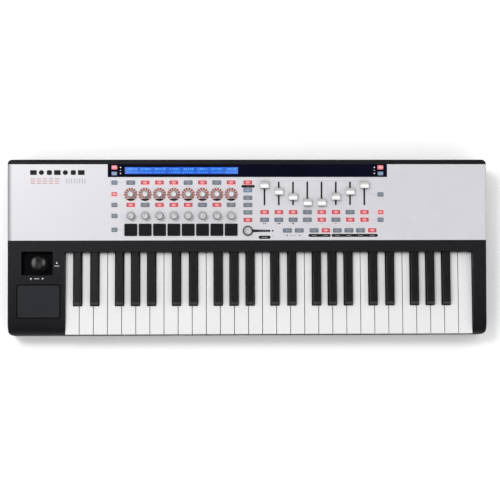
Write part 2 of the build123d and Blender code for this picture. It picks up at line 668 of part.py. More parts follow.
def white_key(index):
    """A hollow white key, notched for the black keys beside it, on its lever."""
    left = KEY_LEFT_X + index * WHITE_PITCH + KEY_GAP / 2
    right = left + WHITE_PITCH - KEY_GAP
    narrow_left, narrow_right = notch_sides(left, right)
    shoulder = BLACK_FRONT_Y - BLACK_CLEARANCE
    head = block(left, right, WHITE_FRONT_Y, shoulder, WHITE_BODY_Z, WHITE_TOP_Z)
    tail = block(narrow_left, narrow_right, shoulder - 2, KEY_REAR_Y, WHITE_BODY_Z, WHITE_TOP_Z)
    inner_front = WHITE_FRONT_Y + KEY_FRONT_THICK
    skirt = block(left, right, WHITE_FRONT_Y, inner_front, WHITE_SKIRT_Z, WHITE_TOP_Z - 1)
    key = head.fuse(tail, skirt)
    front = key.faces().sort_by(Axis.Y)[0].edges().sort_by(Axis.Z)[-1]
    key = fillet(front, WHITE_NOSE_ROUND)
    top = key.faces().sort_by(Axis.Z)[-1]
    key = fillet(top.edges().filter_by(Axis.Y), WHITE_EDGE_ROUND)
    ceiling = WHITE_TOP_Z - KEY_TOP_THICK
    key -= block(left + KEY_WALL, right - KEY_WALL, inner_front, shoulder - KEY_WALL, 0, ceiling)
    key -= block(narrow_left + KEY_WALL, narrow_right - KEY_WALL, shoulder - 6, KEY_REAR_Y - KEY_WALL,
                 0, ceiling)
    centre = (narrow_left + narrow_right) / 2
    return key.fuse(lever(centre), actuator(centre, narrow_right - narrow_left - 2))


def black_key(x):
    """A black key: tapered sides, a sloping nose and a hollow underside, on its lever."""
    half = BLACK_BASE_WIDTH / 2
    side = Plane.YZ * make_face(Polyline(
        (BLACK_FRONT_Y, WHITE_BODY_Z),
        (BLACK_FRONT_Y, WHITE_TOP_Z - 1),
        (BLACK_FRONT_Y + BLACK_NOSE_RUN, BLACK_TOP_Z),
        (KEY_REAR_Y + 0.4, BLACK_TOP_Z - BLACK_REAR_DROP),
        (KEY_REAR_Y + 0.4, WHITE_BODY_Z),
        close=True,
    ))
    end = Plane.XZ * make_face(Polyline(
        (-half, WHITE_BODY_Z),
        (-half, WHITE_TOP_Z - 2),
        (-BLACK_TOP_WIDTH / 2, BLACK_TOP_Z + 0.1),
        (BLACK_TOP_WIDTH / 2, BLACK_TOP_Z + 0.1),
        (half, WHITE_TOP_Z - 2),
        (half, WHITE_BODY_Z),
        close=True,
    ))
    key = extrude(side, half, both=True) & extrude(end, DEPTH, both=True)
    top = key.faces().sort_by(Axis.Z)[-1]
    long_edges = [e for e in top.edges() if e.length > 20]
    nose = [e for e in top.edges() if e.length < 20 and e.center().Y < -50]
    key = fillet(long_edges + nose, BLACK_EDGE_ROUND)
    key -= block(-BLACK_CORE_HALF, BLACK_CORE_HALF, BLACK_FRONT_Y + BLACK_NOSE_RUN + PAST, KEY_REAR_Y - 3,
                 0, BLACK_TOP_Z - BLACK_TOP_THICK)
    return Pos(x, 0, 0) * key.fuse(lever(0), actuator(0, 8.4))


def save_keys():
    """Keys of one note move as a group: one file for each of the twelve notes."""
    for note in WHITE_NOTES:
        save(f"keys_{note}", [white_key(i) for i, name in WHITES if name == note])
    for note in BLACK_CENTRES:
        save(f"keys_{note}", [black_key(x) for x, name in BLACKS if name == note])


def lever_centres():
    """Where each key's lever, spring and contact stand along the keyboard."""
    centres = []
    for i, _ in WHITES:
        left = KEY_LEFT_X + i * WHITE_PITCH + KEY_GAP / 2
        narrow = notch_sides(left, left + WHITE_PITCH - KEY_GAP)
        centres.append(sum(narrow) / 2)
    return centres + [x for x, _ in BLACKS]


def key_frame():
    """The tray under the keys, with the pivot ridge at the rear and a guide post under each key."""
    x0, x1 = KEY_LEFT_X + 1, KEY_RIGHT_X - 1
    root = FRAME_TOP_Z - PAST
    pieces = [block(x0, x1, FRAME_FRONT_Y, FRAME_REAR_Y, FRAME_Z, FRAME_TOP_Z)]
    pieces += [block(x0, x1, y, y + FRAME_RIB_THICK, FLOOR_Z, FRAME_Z + PAST) for y in FRAME_RIB_YS]
    pieces += [block(x0, x1, CONTACT_Y + dy, CONTACT_Y + dy + 2, root, CONTACT_BOARD_Z) for dy in (-11, 9)]
    pieces.append(block(x0, x1, PIVOT_Y - PIVOT_RADIUS, PIVOT_Y + PIVOT_RADIUS, root, PIVOT_Z))
    ridge = Pos((x0 + x1) / 2, PIVOT_Y, PIVOT_Z) * Rot(0, 90, 0)
    pieces.append(rod(ridge, PIVOT_RADIUS, -(x1 - x0) / 2, (x1 - x0) / 2))
    pieces += [guide_post(KEY_LEFT_X + (i + 0.5) * WHITE_PITCH, **WHITE_POST) for i, _ in WHITES]
    pieces += [guide_post(x, **BLACK_POST) for x, _ in BLACKS]
    return merge(pieces)


def guide_post(x, half, y0, y1, top):
    """A post that keeps a key from swinging sideways."""
    return block(x - half, x + half, y0, y1, FRAME_TOP_Z - PAST, top)


def key_contact_strip():
    """The rubber strip whose domes close the key contacts."""
    low = CONTACT_BOARD_Z + BOARD_THICK
    high = low + CONTACT_STRIP_THICK
    base = block(KEY_LEFT_X + 6, KEY_RIGHT_X - 6, CONTACT_Y - CONTACT_STRIP_HALF,
                 CONTACT_Y + CONTACT_STRIP_HALF, low, high)
    domes = [rod(Pos(x, CONTACT_Y, 0), CONTACT_DOME_RADIUS, high - 0.5, CONTACT_TOP_Z)
             for x in lever_centres()]
    return base.fuse(*domes)


def key_springs():
    """The return springs under the levers, as plain sleeves of the springs' outer and inner size."""
    outer, inner = SPRING_RADII
    sleeve = rod(Pos(0, 0, 0), outer, FRAME_TOP_Z, SPRING_TOP_Z)
    sleeve -= rod(Pos(0, 0, 0), inner, FRAME_TOP_Z - PAST, SPRING_TOP_Z + PAST)
    return [Pos(x, SPRING_Y, 0) * sleeve for x in lever_centres()]


# Moving controls -------------------------------------------------------------

def button(size, x, y):
    """A button cap, with a flange under the panel that keeps it in."""
    cap = plate(Pos(0, 0, 0), size, BUTTON_BOTTOM, BUTTON_TOP, BUTTON_CORNER)
    cap = fillet(cap.faces().sort_by(Axis.Z)[-1].edges(), BUTTON_EDGE)
    wider = (size[0] + 2 * FLANGE_MARGIN, size[1] + 2 * FLANGE_MARGIN)
    flange = plate(Pos(0, 0, 0), wider, BUTTON_BOTTOM, BUTTON_BOTTOM + 1, 1)
    return panel(x, y) * cap.fuse(flange)


def drum_pad(x, y):
    """A square rubber pad with a softened top edge."""
    pad = plate(Pos(0, 0, 0), PAD_SIZE, PAD_BOTTOM, PAD_TOP, PAD_CORNER)
    return panel(x, y) * fillet(pad.faces().sort_by(Axis.Z)[-1].edges(), PAD_EDGE)


def knob_cap(base, top, low, high, flutes=18):
    """A turned knob with finger flutes round its side and a dished top, over its shaft."""
    shoulder = high - 1.6
    outline = make_face(Polyline(
        (0, low), (base, low), (base, low + 1.5), (base - 0.5, low + 2),
        ((base + top) / 2, shoulder), (top, high - 0.5), (top - 0.5, high),
        (top - 1.2, high), (top - 1.6, high - KNOB_DISH), (0, high - KNOB_DISH), close=True,
    ))
    knob = revolve(Plane.XZ * outline, Axis.Z, 360)
    for i in range(flutes):
        side = Rot(0, 0, i * 360 / flutes) * Pos(base + 0.25, 0, 0)
        knob -= rod(side, FLUTE_RADIUS, low + 2.4, high + PAST)
    return knob.fuse(rod(Pos(0, 0, 0), SHAFT_RADIUS, BOARD_TOP + 1.5, low + 1))


def pot_knob(pointer):
    """A knob with a slot in its top that points at its setting, clockwise from the rear."""
    knob = knob_cap(**POT_CAP, flutes=24)
    high, top = POT_CAP["high"], POT_CAP["top"]
    width, start, depth = POINTER_SLOT
    slot = Pos(0, (start + top) / 2, high - KNOB_DISH) * Box(width, top - start, 2 * depth)
    return knob - Rot(0, 0, -pointer) * slot


def fader_cap(x, rest):
    """A fader's cap on its stem, with a scooped top."""
    width, length = FADER_CAP
    half = length / 2
    outline = Plane.YZ * make_face(Polyline(
        (-half, FADER_FOOT), (-half, FADER_SKIRT), (-half + 1.2, FADER_CAP_TOP), (-0.5, FADER_SCOOP),
        (0.5, FADER_SCOOP), (half - 1.2, FADER_CAP_TOP), (half, FADER_SKIRT), (half, FADER_FOOT), close=True,
    ))
    cap = extrude(outline, width / 2, both=True)
    rims = [e for e in cap.edges()
            if e.center().Z > FADER_CAP_TOP - 0.5 or abs(e.center().X) > width / 2 - 0.1]
    cap = fillet([e for e in rims if e.length > 1.5], 0.35)
    thick, long, reach = FADER_STEM
    stem = block(-thick / 2, thick / 2, -long / 2, long / 2, -reach, FADER_FOOT + 0.3)
    along = rest / cos(radians(PANEL_TILT))
    return panel(x, FADER_Y) * Pos(0, along, 0) * cap.fuse(stem)


def joystick_yoke():
    """The outer gimbal: a square frame on two pins along Y, bored along X for the stick."""
    centre = Pos(STICK_X, STICK_Y, STICK_PIVOT_Z)
    opening = Box(YOKE_INNER, YOKE_INNER, YOKE_THICK + PAST)
    frame = centre * (Box(YOKE_OUTER, YOKE_OUTER, YOKE_THICK) - opening)
    pins = centre * Rot(90, 0, 0)
    radius, reach = YOKE_PIN
    frame = frame.fuse(rod(pins, radius, -reach, -9), rod(pins, radius, 9, reach))
    return frame - rod(centre * Rot(0, 90, 0), HUB_PIN[0] + GIMBAL_CLEARANCE, -YOKE_OUTER, YOKE_OUTER)


def joystick_stick():
    """The stick: hub and pins in the gimbal, a dust dome, and a waisted thumb piece."""
    base = STICK_PIVOT_Z
    dome_top = base + DOME_RADIUS
    shell = Pos(0, 0, base) * (Sphere(DOME_RADIUS) - Sphere(DOME_RADIUS - DOME_THICK))
    wide = 2 * DOME_RADIUS
    shell &= block(-wide, wide, -wide, wide, base + DOME_RADIUS * cos(radians(DOME_EDGE_ANGLE)), ABOVE)
    hub = Pos(0, 0, base) * Box(HUB_SIZE, HUB_SIZE, HUB_SIZE)
    pin_radius, pin_reach = HUB_PIN
    pins = rod(Pos(0, 0, base) * Rot(0, 90, 0), pin_radius, -pin_reach, pin_reach)
    stem = rod(Pos(0, 0, 0), STEM_RADIUS, base, dome_top + 3)
    crown = dome_top + THUMB_HEIGHT
    thumb = revolve(Plane.XZ * make_face(Polyline(
        (0, dome_top + 0.5), (NECK_RADIUS + 0.6, dome_top + 0.5), (NECK_RADIUS, dome_top + 3.5),
        (NECK_RADIUS + 1.7, dome_top + 6.5), (THUMB_RADIUS - 0.8, crown - 5.2), (THUMB_RADIUS, crown - 3.8),
        (THUMB_RADIUS - 0.4, crown - 1.8), (THUMB_RADIUS - 2.2, crown - 0.2), (THUMB_RADIUS / 2, crown),
        (0, crown - 0.8), close=True,
    )), Axis.Z, 360)
    return Pos(STICK_X, STICK_Y, 0) * hub.fuse(pins, stem, shell, thumb)


# Small hardware --------------------------------------------------------------

def case_screw(x, y):
    """A slotted screw, driven up from under the case."""
    place = Pos(x, y, 0)
    low, high = SCREW_HEAD_Z
    screw = rod(place, SCREW_HEAD_RADIUS, low, high).fuse(rod(place, SCREW_RADIUS, high - PAST, SCREW_TIP_Z))
    return screw - plate(place, (1, 3.6), low - PAST, low + 0.8)


def rubber_foot(x, y):
    """A round foot with a softened lower edge."""
    foot = rod(Pos(x, y, 0), FOOT_RADIUS, 0, FOOT_HEIGHT)
    return fillet(foot.edges().group_by(Axis.Z)[0], FOOT_EDGE)


def main():
    os.makedirs("parts", exist_ok=True)
    save("bottom_case", bottom_case())
    save("front_surround", front_surround())
    save("control_panel", control_panel())
    save("display_window", display_window())
    save("lcd_module", lcd_module())
    save("touchpad", touchpad())
    save("light_rings", light_rings())
    save("circuit_boards", circuit_boards())
    save("control_bodies", control_bodies())
    save("rear_sockets", rear_sockets())
    save("power_switch", power_switch())
    save("key_frame", key_frame())
    save("key_contact_strip", key_contact_strip())
    save("key_springs", key_springs())
    save("case_screws", [case_screw(x, y) for x, y in SCREW_SPOTS])
    save("rubber_feet", [rubber_foot(x, y) for x, y in FOOT_SPOTS])
    save_keys()
    for name, (size, spots) in BUTTONS.items():
        save(name, [button(size, x, y) for x, y in spots])
    save("drum_pads", [drum_pad(x, y) for x, y in PAD_SPOTS])
    encoder = knob_cap(**ENCODER_CAP)
    for i, (x, y) in enumerate(ENCODER_SPOTS):
        save(f"encoder_knob_{i + 1}", panel(x, y) * encoder)
    for i, (x, y) in enumerate(POT_SPOTS):
        save(f"pot_knob_{i + 1}", panel(x, y) * pot_knob(POT_POINTERS[i]))
    save("speed_dial", panel(MIDDLE_X, DIAL_Y) * knob_cap(**DIAL_CAP, flutes=24))
    for i, (x, _) in enumerate(FADER_SPOTS):
        save(f"fader_{i + 1}", fader_cap(x, FADER_RESTS[i]))
    save("joystick_yoke", joystick_yoke())
    save("joystick_stick", joystick_stick())


main()
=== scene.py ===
"""Looks of the keyboard controller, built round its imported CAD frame. Metres, +Y to the rear, +Z up."""
import json
from math import cos, pi, radians, sin, sqrt
import bmesh
import bpy
from mathutils import Matrix, Vector


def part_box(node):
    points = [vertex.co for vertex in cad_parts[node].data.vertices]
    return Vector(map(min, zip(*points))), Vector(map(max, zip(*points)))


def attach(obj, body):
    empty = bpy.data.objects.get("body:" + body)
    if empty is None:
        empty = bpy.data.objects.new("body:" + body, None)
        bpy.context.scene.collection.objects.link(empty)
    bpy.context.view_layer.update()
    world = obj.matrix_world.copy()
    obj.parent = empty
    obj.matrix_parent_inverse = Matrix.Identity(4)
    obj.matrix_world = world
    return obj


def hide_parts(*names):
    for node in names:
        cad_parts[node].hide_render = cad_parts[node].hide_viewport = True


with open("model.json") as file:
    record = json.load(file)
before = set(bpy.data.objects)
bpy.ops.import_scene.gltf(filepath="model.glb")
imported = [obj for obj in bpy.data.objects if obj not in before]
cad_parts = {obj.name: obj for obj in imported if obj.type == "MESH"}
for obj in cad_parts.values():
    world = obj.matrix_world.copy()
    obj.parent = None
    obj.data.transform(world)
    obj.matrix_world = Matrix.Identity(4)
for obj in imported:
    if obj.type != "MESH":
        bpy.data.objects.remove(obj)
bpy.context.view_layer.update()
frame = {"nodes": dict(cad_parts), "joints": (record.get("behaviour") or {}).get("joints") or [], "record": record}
NODES = frame["nodes"]
JOINTS = {j["name"]: j for j in frame["joints"]}
BODY = "case"
MM = 0.001


def pivot(joint):
    """Where a joint is."""
    return Vector(JOINTS[joint]["pos_m"])


# The panel's plane, from the axis and place of the speed dial on it
PANEL_UP = -Vector(JOINTS["speed_dial_turn"]["axis"]).normalized()
PANEL_POINT = pivot("speed_dial_turn")
STICK = pivot("joystick_front_back")


def plane_matrix(up, point, x, y, rise=0.0):
    """A place on a sloping plane above plan point (x, y): local Y up the slope, Z along the normal."""
    across = Vector((1, 0, 0))
    back = up.cross(across)
    z = (up.dot(point) - up.x * x - up.y * y) / up.z
    spot = Vector((x, y, z)) + up * rise
    turn = Matrix((across, back, up)).transposed().to_4x4()
    return Matrix.Translation(spot) @ turn


def panel(spot):
    """A place on the panel above a spot's plan point."""
    return plane_matrix(PANEL_UP, PANEL_POINT, spot.x, spot.y)


def top_plane(node):
    """The normal and a point of the largest face of a CAD node that looks up."""
    sums = {}
    for face in NODES[node].data.polygons:
        if face.normal.z > 0.9:
            key = tuple(round(c, 3) for c in face.normal)
            area, point = sums.get(key, (0.0, face.center.copy()))
            sums[key] = (area + face.area, point)
    normal, (_, point) = max(sums.items(), key=lambda item: item[1][0])
    return Vector(normal).normalized(), point


CHEEK_UP, CHEEK_POINT = top_plane("touchpad")
CHEEK_RISE = 0.4 * MM


def cheek(x, y):
    """A place on the left cheek's top surface, just above the touch pad's plane."""
    return plane_matrix(CHEEK_UP, CHEEK_POINT, x, y, CHEEK_RISE)


# Material nodes -----------------------

def rgba(colour):
    """An opaque colour, from its three parts or a level of grey."""
    return (*colour, 1) if isinstance(colour, tuple) else (colour, colour, colour, 1)


def scaled(colour, by, plus=0.0):
    """A lighter or darker colour."""
    return tuple(min(c * by + plus, 1) for c in colour)


class Graph:
    """Nodes under construction in a tree."""

    def __init__(self, tree):
        self.tree = tree

    def node(self, kind, inputs=None, **settings):
        """A new node, with its inputs linked or set."""
        made = self.tree.nodes.new("ShaderNode" + kind)
        for key, value in settings.items():
            setattr(made, key, value)
        for key, value in (inputs or {}).items():
            self.put(made.inputs[key], value)
        return made

    def put(self, socket, value):
        """Link an output to a socket, or set the socket's value."""
        if isinstance(value, bpy.types.NodeSocket):
            self.tree.links.new(value, socket)
        else:
            socket.default_value = value

    def span(self, value, low, high, from_low=0.3, from_high=0.7):
        """A value mapped from one span to another. Noise keeps mostly between 0.3 and 0.7."""
        made = self.node("MapRange", {"Value": value, "From Min": from_low, "From Max": from_high,
                                      "To Min": low, "To Max": high})
        return made.outputs[0]

    def ramp(self, value, stops):
        """A colour ramp over (place, colour) stops."""
        made = self.node("ValToRGB", {"Fac": value})
        ramp = made.color_ramp
        while len(ramp.elements) < len(stops):
            ramp.elements.new(0.5)
        for element, (place, colour) in zip(ramp.elements, stops):
            element.position = place
            element.color = rgba(colour)
        return made.outputs["Color"]

    def mix(self, factor, first, second):
        """The first colour at factor 0, the second at 1."""
        made = self.node("Mix", data_type="RGBA", blend_type="MIX")
        self.put(made.inputs["Factor"], factor)
        for socket, colour in ((made.inputs[6], first), (made.inputs[7], second)):
            self.put(socket, colour if isinstance(colour, bpy.types.NodeSocket) else rgba(colour))
        return made.outputs[2]

    def square(self, value, middle, reach):
        """The square of a value's distance from middle, 1 at reach."""
        return self.maths("POWER", self.maths("DIVIDE", self.maths("SUBTRACT", value, middle), reach), 2.0)

    def parts(self, vector):
        """The X, Y and Z of a vector."""
        return self.node("SeparateXYZ", {"Vector": vector}).outputs

    def facing(self):
        """The X, Y and Z of the surface's direction."""
        return self.parts(self.node("NewGeometry").outputs["Normal"])

    def maths(self, operation, first, second=0.0):
        """A sum or other operation on two values."""
        return self.node("Math", {0: first, 1: second}, operation=operation).outputs[0]


class Shader(Graph):
    """A node material under construction."""

    def __init__(self, name):
        self.material = bpy.data.materials.new(name)
        self.material.use_nodes = True
        super().__init__(self.material.node_tree)
        self.surface = self.tree.nodes["Principled BSDF"]
        self.coords = self.node("TexCoord").outputs["Object"]

    def set(self, **values):
        """Link or set inputs of the surface, named with _ for each space."""
        for key, value in values.items():
            self.put(self.surface.inputs[key.replace("_", " ")], value)

    def noise(self, size, detail=3.0, stretch=(1, 1, 1)):
        """Noise with features about size metres across."""
        mapped = self.node("Mapping", {"Vector": self.coords, "Scale": stretch}).outputs[0]
        return self.node("TexNoise", {"Vector": mapped, "Scale": 1 / size, "Detail": detail}).outputs["Fac"]

    def cells(self, size):
        """Distance to the nearest point of a cell pattern, for leather-like and pebbled grain."""
        return self.node("TexVoronoi", {"Vector": self.coords, "Scale": 1 / size}).outputs["Distance"]

    def bump(self, height, depth):
        """A bump of a height value, with its full depth in metres. Calls stack."""
        made = self.node("Bump", {"Height": height, "Distance": depth, "Strength": 1.0})
        if self.surface.inputs["Normal"].is_linked:
            self.put(made.inputs["Normal"], self.surface.inputs["Normal"].links[0].from_socket)
        self.put(self.surface.inputs["Normal"], made.outputs[0])

    def edges(self, radius=0.0006):
        """1 along convex and concave edges, 0 on flat stretches."""
        rounded = self.node("Bevel", {"Radius": radius}, samples=4).outputs[0]
        flat = self.node("NewGeometry").outputs["Normal"]
        dot = self.node("VectorMath", {0: rounded, 1: flat}, operation="DOT_PRODUCT").outputs["Value"]
        return self.span(dot, 1.0, 0.0, 0.85, 0.999)

    def local(self):
        """The attribute that holds each vertex's place in its own piece, in millimetres."""
        return self.node("Attribute", attribute_name="local").outputs["Vector"]


def plastic(name, colour, rough, grain=0.0, grain_size=0.5 * MM, wear=0.0, coat=0.0, gloss=0.5):
    """Moulded plastic: mottled colour, uneven gloss, a moulded grain and rubbed edges."""
    s = Shader(name)
    cloud = s.noise(35 * MM, 4)
    tint = s.ramp(cloud, [(0.35, scaled(colour, 0.92)), (0.65, scaled(colour, 1.08))])
    smear = s.noise(9 * MM, 5, stretch=(1, 2.5, 1))
    roughness = s.span(smear, rough * 0.86, min(rough * 1.14, 1))
    if wear:
        rubbed = s.maths("MULTIPLY", s.edges(), s.span(s.noise(4 * MM, 4), 0.3, 1.0))
        tint = s.mix(s.maths("MULTIPLY", rubbed, wear), tint, scaled(colour, 2.2, 0.02))
    s.set(Base_Color=tint, Roughness=roughness, Coat_Weight=coat, Coat_Roughness=0.08,
          Specular_IOR_Level=gloss)
    if grain:
        s.bump(s.cells(grain_size), grain)
        s.bump(s.noise(grain_size * 0.4, 2), grain * 0.5)
    return s


def silver_paint():
    """Satin silver paint: fine flakes and orange peel, with painted shade turning it graphite on the rolled left
    side.
    """
    s = Shader("panel_silver_paint")
    flakes = s.noise(0.25 * MM, 2)
    tone = s.ramp(s.noise(240 * MM, 2), [(0.3, (0.524, 0.520, 0.552)), (0.7, (0.546, 0.541, 0.571))])
    sparkle = s.mix(s.span(flakes, 0.0, 0.12, 0.45, 0.75), tone, (0.85, 0.85, 0.87))
    sideways = s.facing()[0]
    across = s.parts(s.coords)[0]
    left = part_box("control_panel")[0].x
    # Painted shade: near graphite on left-facing slopes and in a band along the panel's left edge.
    painted_margin_shade = s.span(across, 0.70, 0.0, left + 3.2 * MM, left + 8.0 * MM)
    painted_edge_shade = s.maths("MAXIMUM", s.span(sideways, 0.9, 0.0, -0.75, -0.1), painted_margin_shade)
    tint = s.mix(painted_edge_shade, sparkle, (0.16, 0.16, 0.165))
    s.set(Base_Color=tint, Metallic=0.15, Roughness=s.span(s.noise(14 * MM, 4), 0.36, 0.46))
    s.bump(flakes, 0.000012)
    s.bump(s.noise(1.6 * MM, 3), 0.00001)
    return s.material


def case_moulding():
    """Grained black case plastic: glossiest by the panel, duller where the cheeks roll over in front."""
    s = plastic("case_black_moulding", (0.0058, 0.0058, 0.0076), 0.5, 0.00005, 0.9 * MM, wear=0.3)
    along = s.parts(s.coords)[1]
    front, rear = (corner.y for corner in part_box("bottom_case"))
    bands = [(0.04, 0.07), (0.42, 0.14), (0.90, 0.15), (0.98, 0.105)]
    gloss = s.ramp(s.span(along, 0.0, 1.0, front, rear), bands)
    s.set(Specular_IOR_Level=gloss)
    return s.material


def polished_key():
    """White key plastic: glossy, with finger-smoothed patches and hairline scratches."""
    s = Shader("white_key_plastic")
    tone = s.ramp(s.noise(70 * MM, 2), [(0.3, 0.685), (0.7, 0.702)])
    smear = s.noise(12 * MM, 5, stretch=(1, 0.5, 1))
    s.set(Base_Color=tone, Roughness=s.span(smear, 0.16, 0.28), Subsurface_Weight=0.06,
          Subsurface_Scale=0.002, Coat_Weight=0.2, Coat_Roughness=0.1)
    s.surface.inputs["Subsurface Radius"].default_value = (1.0, 0.85, 0.7)
    s.bump(s.noise(0.35 * MM, 2, stretch=(6, 0.4, 1)), 0.000003)
    return s.material


def black_key_plastic():
    """Black key plastic: tops polished by fingers, sides left matt from the mould; painted shade darkens the
    sides, painted highlights lighten the front face and the edges.
    """
    s = Shader("black_key_plastic")
    sideways, rearward, upward = s.facing()
    level = s.span(s.maths("ABSOLUTE", sideways), 1.0, 0.0, 0.12, 0.5)
    top = s.maths("MULTIPLY", level, s.span(upward, 0.0, 1.0, 0.2, 0.4))
    front_face_highlight = s.span(s.maths("MULTIPLY", rearward, -1.0), 0.0, 1.0, 0.15, 0.5)
    satin = s.ramp(s.noise(18 * MM, 4), [(0.35, (0.0060, 0.0060, 0.0066)), (0.65, (0.0082, 0.0082, 0.0088))])
    # Painted shade: faces other than the top go near black; front faces get a painted highlight.
    tint = s.mix(top, (0.0030, 0.0030, 0.0033), s.mix(front_face_highlight, satin, (0.022, 0.022, 0.023)))
    # Painted highlights along the edges.
    edge_highlight = s.maths("MULTIPLY", s.edges(0.0009), s.span(s.noise(5 * MM, 4), 0.35, 0.8))
    tint = s.mix(edge_highlight, tint, 0.10)
    smear = s.noise(9 * MM, 5, stretch=(1, 0.4, 1))
    s.set(Base_Color=tint, Roughness=s.span(smear, 0.28, 0.40),
          Specular_IOR_Level=s.span(top, 0.045, 0.13, 0.0, 1.0))
    s.bump(s.noise(0.35 * MM, 2, stretch=(5, 0.5, 1)), 0.000004)
    return s.material


def thumb_plastic():
    """The joystick's satin black plastic, with two soft painted highlights on the left and right flanks of its
    cap.
    """
    s = Shader("stick_satin")
    x, y, _ = s.parts(s.local())
    tint = (0.0022, 0.0022, 0.0027)
    # Painted highlights: a soft pale spot on each flank of the cap.
    for middle, half, reach, highlight_grey in ((-7.4, 6.0, 12.0, 0.125), (9.4, 4.8, 8.5, 0.115)):
        away = s.maths("ADD", s.square(x, middle, half), s.square(y, 1.5, reach))
        rubbed = s.maths("POWER", s.span(away, 1.0, 0.0, 0.0, 1.0), 2.2)
        painted_highlight = s.maths("MULTIPLY", rubbed, s.span(s.noise(6 * MM, 4), 0.7, 1.0))
        tint = s.mix(painted_highlight, tint, (highlight_grey, highlight_grey, highlight_grey * 1.04))
    s.set(Base_Color=tint, Roughness=s.span(s.noise(5 * MM, 4), 0.40, 0.5), Specular_IOR_Level=0.15)
    s.bump(s.cells(0.4 * MM), 0.00001)
    return s.material


def button_cap(name, rim, core, glow=0.0):
    """Frosted button plastic. A lit one is brightest over its lamp, at the middle."""
    s = Shader(name)
    x, y, _ = s.parts(s.local())
    reach = s.maths("SQRT", s.maths("ADD", s.square(x, 0.0, 6.6), s.square(y, 0.0, 3.4)))
    uneven = s.maths("ADD", reach, s.span(s.noise(2.5 * MM, 3), -0.05, 0.05))
    middle = tuple((a + b) / 2 for a, b in zip(core, rim))
    tint = s.ramp(uneven, [(0.05, core), (0.42, middle), (0.75, rim), (1.0, scaled(rim, 0.8))])
    s.set(Base_Color=tint, Roughness=s.span(s.noise(3 * MM, 4), 0.38, 0.52), Subsurface_Weight=0.1,
          Subsurface_Scale=0.001, Emission_Color=tint, Emission_Strength=glow)
    s.bump(s.noise(0.3 * MM, 2), 0.00001)
    return s.material


def turned_metal(name, crown, side, edge, rough=0.34, metallic=0.35):
    """Metallised knob finish: turning rings, a painted highlight on the crown out to edge millimetres in radius,
    and painted shade on the side.
    """
    s = Shader(name)
    x, y, _ = s.parts(s.local())
    flat = s.node("CombineXYZ", {"X": x, "Y": y, "Z": 0.0}).outputs[0]
    radius = s.node("VectorMath", {0: flat}, operation="LENGTH").outputs["Value"]
    rings = s.node("TexNoise", {"W": s.maths("MULTIPLY", radius, 6.0), "Detail": 4.0, "Scale": 1.0},
                   noise_dimensions="1D").outputs["Fac"]
    # Painted highlight on the crown and painted shade on the side, by radius; the very middle is darker again.
    painted_light_and_shade = s.ramp(s.maths("DIVIDE", radius, edge * 2), [
        (0.0, scaled(crown, 0.62)), (0.10, crown), (0.40, scaled(crown, 0.9)),
        (0.50, side), (1.0, scaled(side, 0.85))])
    tint = s.mix(s.span(rings, 0.0, 0.2), painted_light_and_shade, scaled(crown, 0.7))
    s.set(Base_Color=tint, Metallic=metallic, Roughness=s.span(s.noise(2 * MM, 3), rough * 0.85, rough * 1.2))
    s.bump(rings, 0.00002)
    return s.material


def cap_silver():
    """Satin silver fader cap: a painted highlight on the front slope, painted shade on the rear one, a painted
    shadow on the front skirt, grain along the slot.
    """
    s = Shader("fader_silver")
    _, along, _ = s.parts(s.local())
    lines = s.noise(0.35 * MM, 3, stretch=(1, 0.2, 1))
    # Painted light along the cap: painted shadow at the front skirt, a bright painted highlight on the front
    # slope, grey painted shade on the rear slope.
    painted_light_and_shade = s.ramp(s.span(along, 0.0, 1.0, -6.4, 6.4), [
        (0.0, 0.10), (0.07, 0.40), (0.12, 0.86), (0.46, 0.90), (0.56, (0.60, 0.60, 0.605)),
        (0.80, (0.52, 0.52, 0.525)), (0.92, 0.42), (1.0, 0.44)])
    tint = s.mix(s.span(s.noise(4 * MM, 4), 0.0, 0.15), painted_light_and_shade, (0.30, 0.30, 0.31))
    s.set(Base_Color=tint, Metallic=0.1, Roughness=s.span(lines, 0.3, 0.42))
    s.bump(lines, 0.000008)
    return s.material


def rubber(name, colour, rough=0.72, grain=0.00003, gloss=0.12):
    """Soft rubber: matt, finely pebbled, with dusty and rubbed patches."""
    s = Shader(name)
    tint = s.ramp(s.noise(5 * MM, 5), [(0.4, colour), (0.75, scaled(colour, 1.3, 0.001))])
    s.set(Base_Color=tint, Roughness=s.span(s.noise(3 * MM, 4), rough * 0.9, min(rough * 1.1, 1)),
          Sheen_Weight=0.04, Sheen_Roughness=0.5, Specular_IOR_Level=gloss)
    s.bump(s.cells(0.45 * MM), grain)
    return s.material


def window_gloss():
    """Smoked window: nearly black with a trace of blue, clear gloss, fine wiping marks."""
    s = Shader("smoked_window")
    wipes = s.noise(1.2 * MM, 3, stretch=(0.15, 2, 1))
    tint = s.ramp(s.noise(60 * MM, 3), [(0.35, (0.0016, 0.0020, 0.0070)), (0.65, (0.0024, 0.0030, 0.0115))])
    s.set(Base_Color=tint, Roughness=s.span(wipes, 0.05, 0.12), Specular_IOR_Level=0.35)
    return s.material


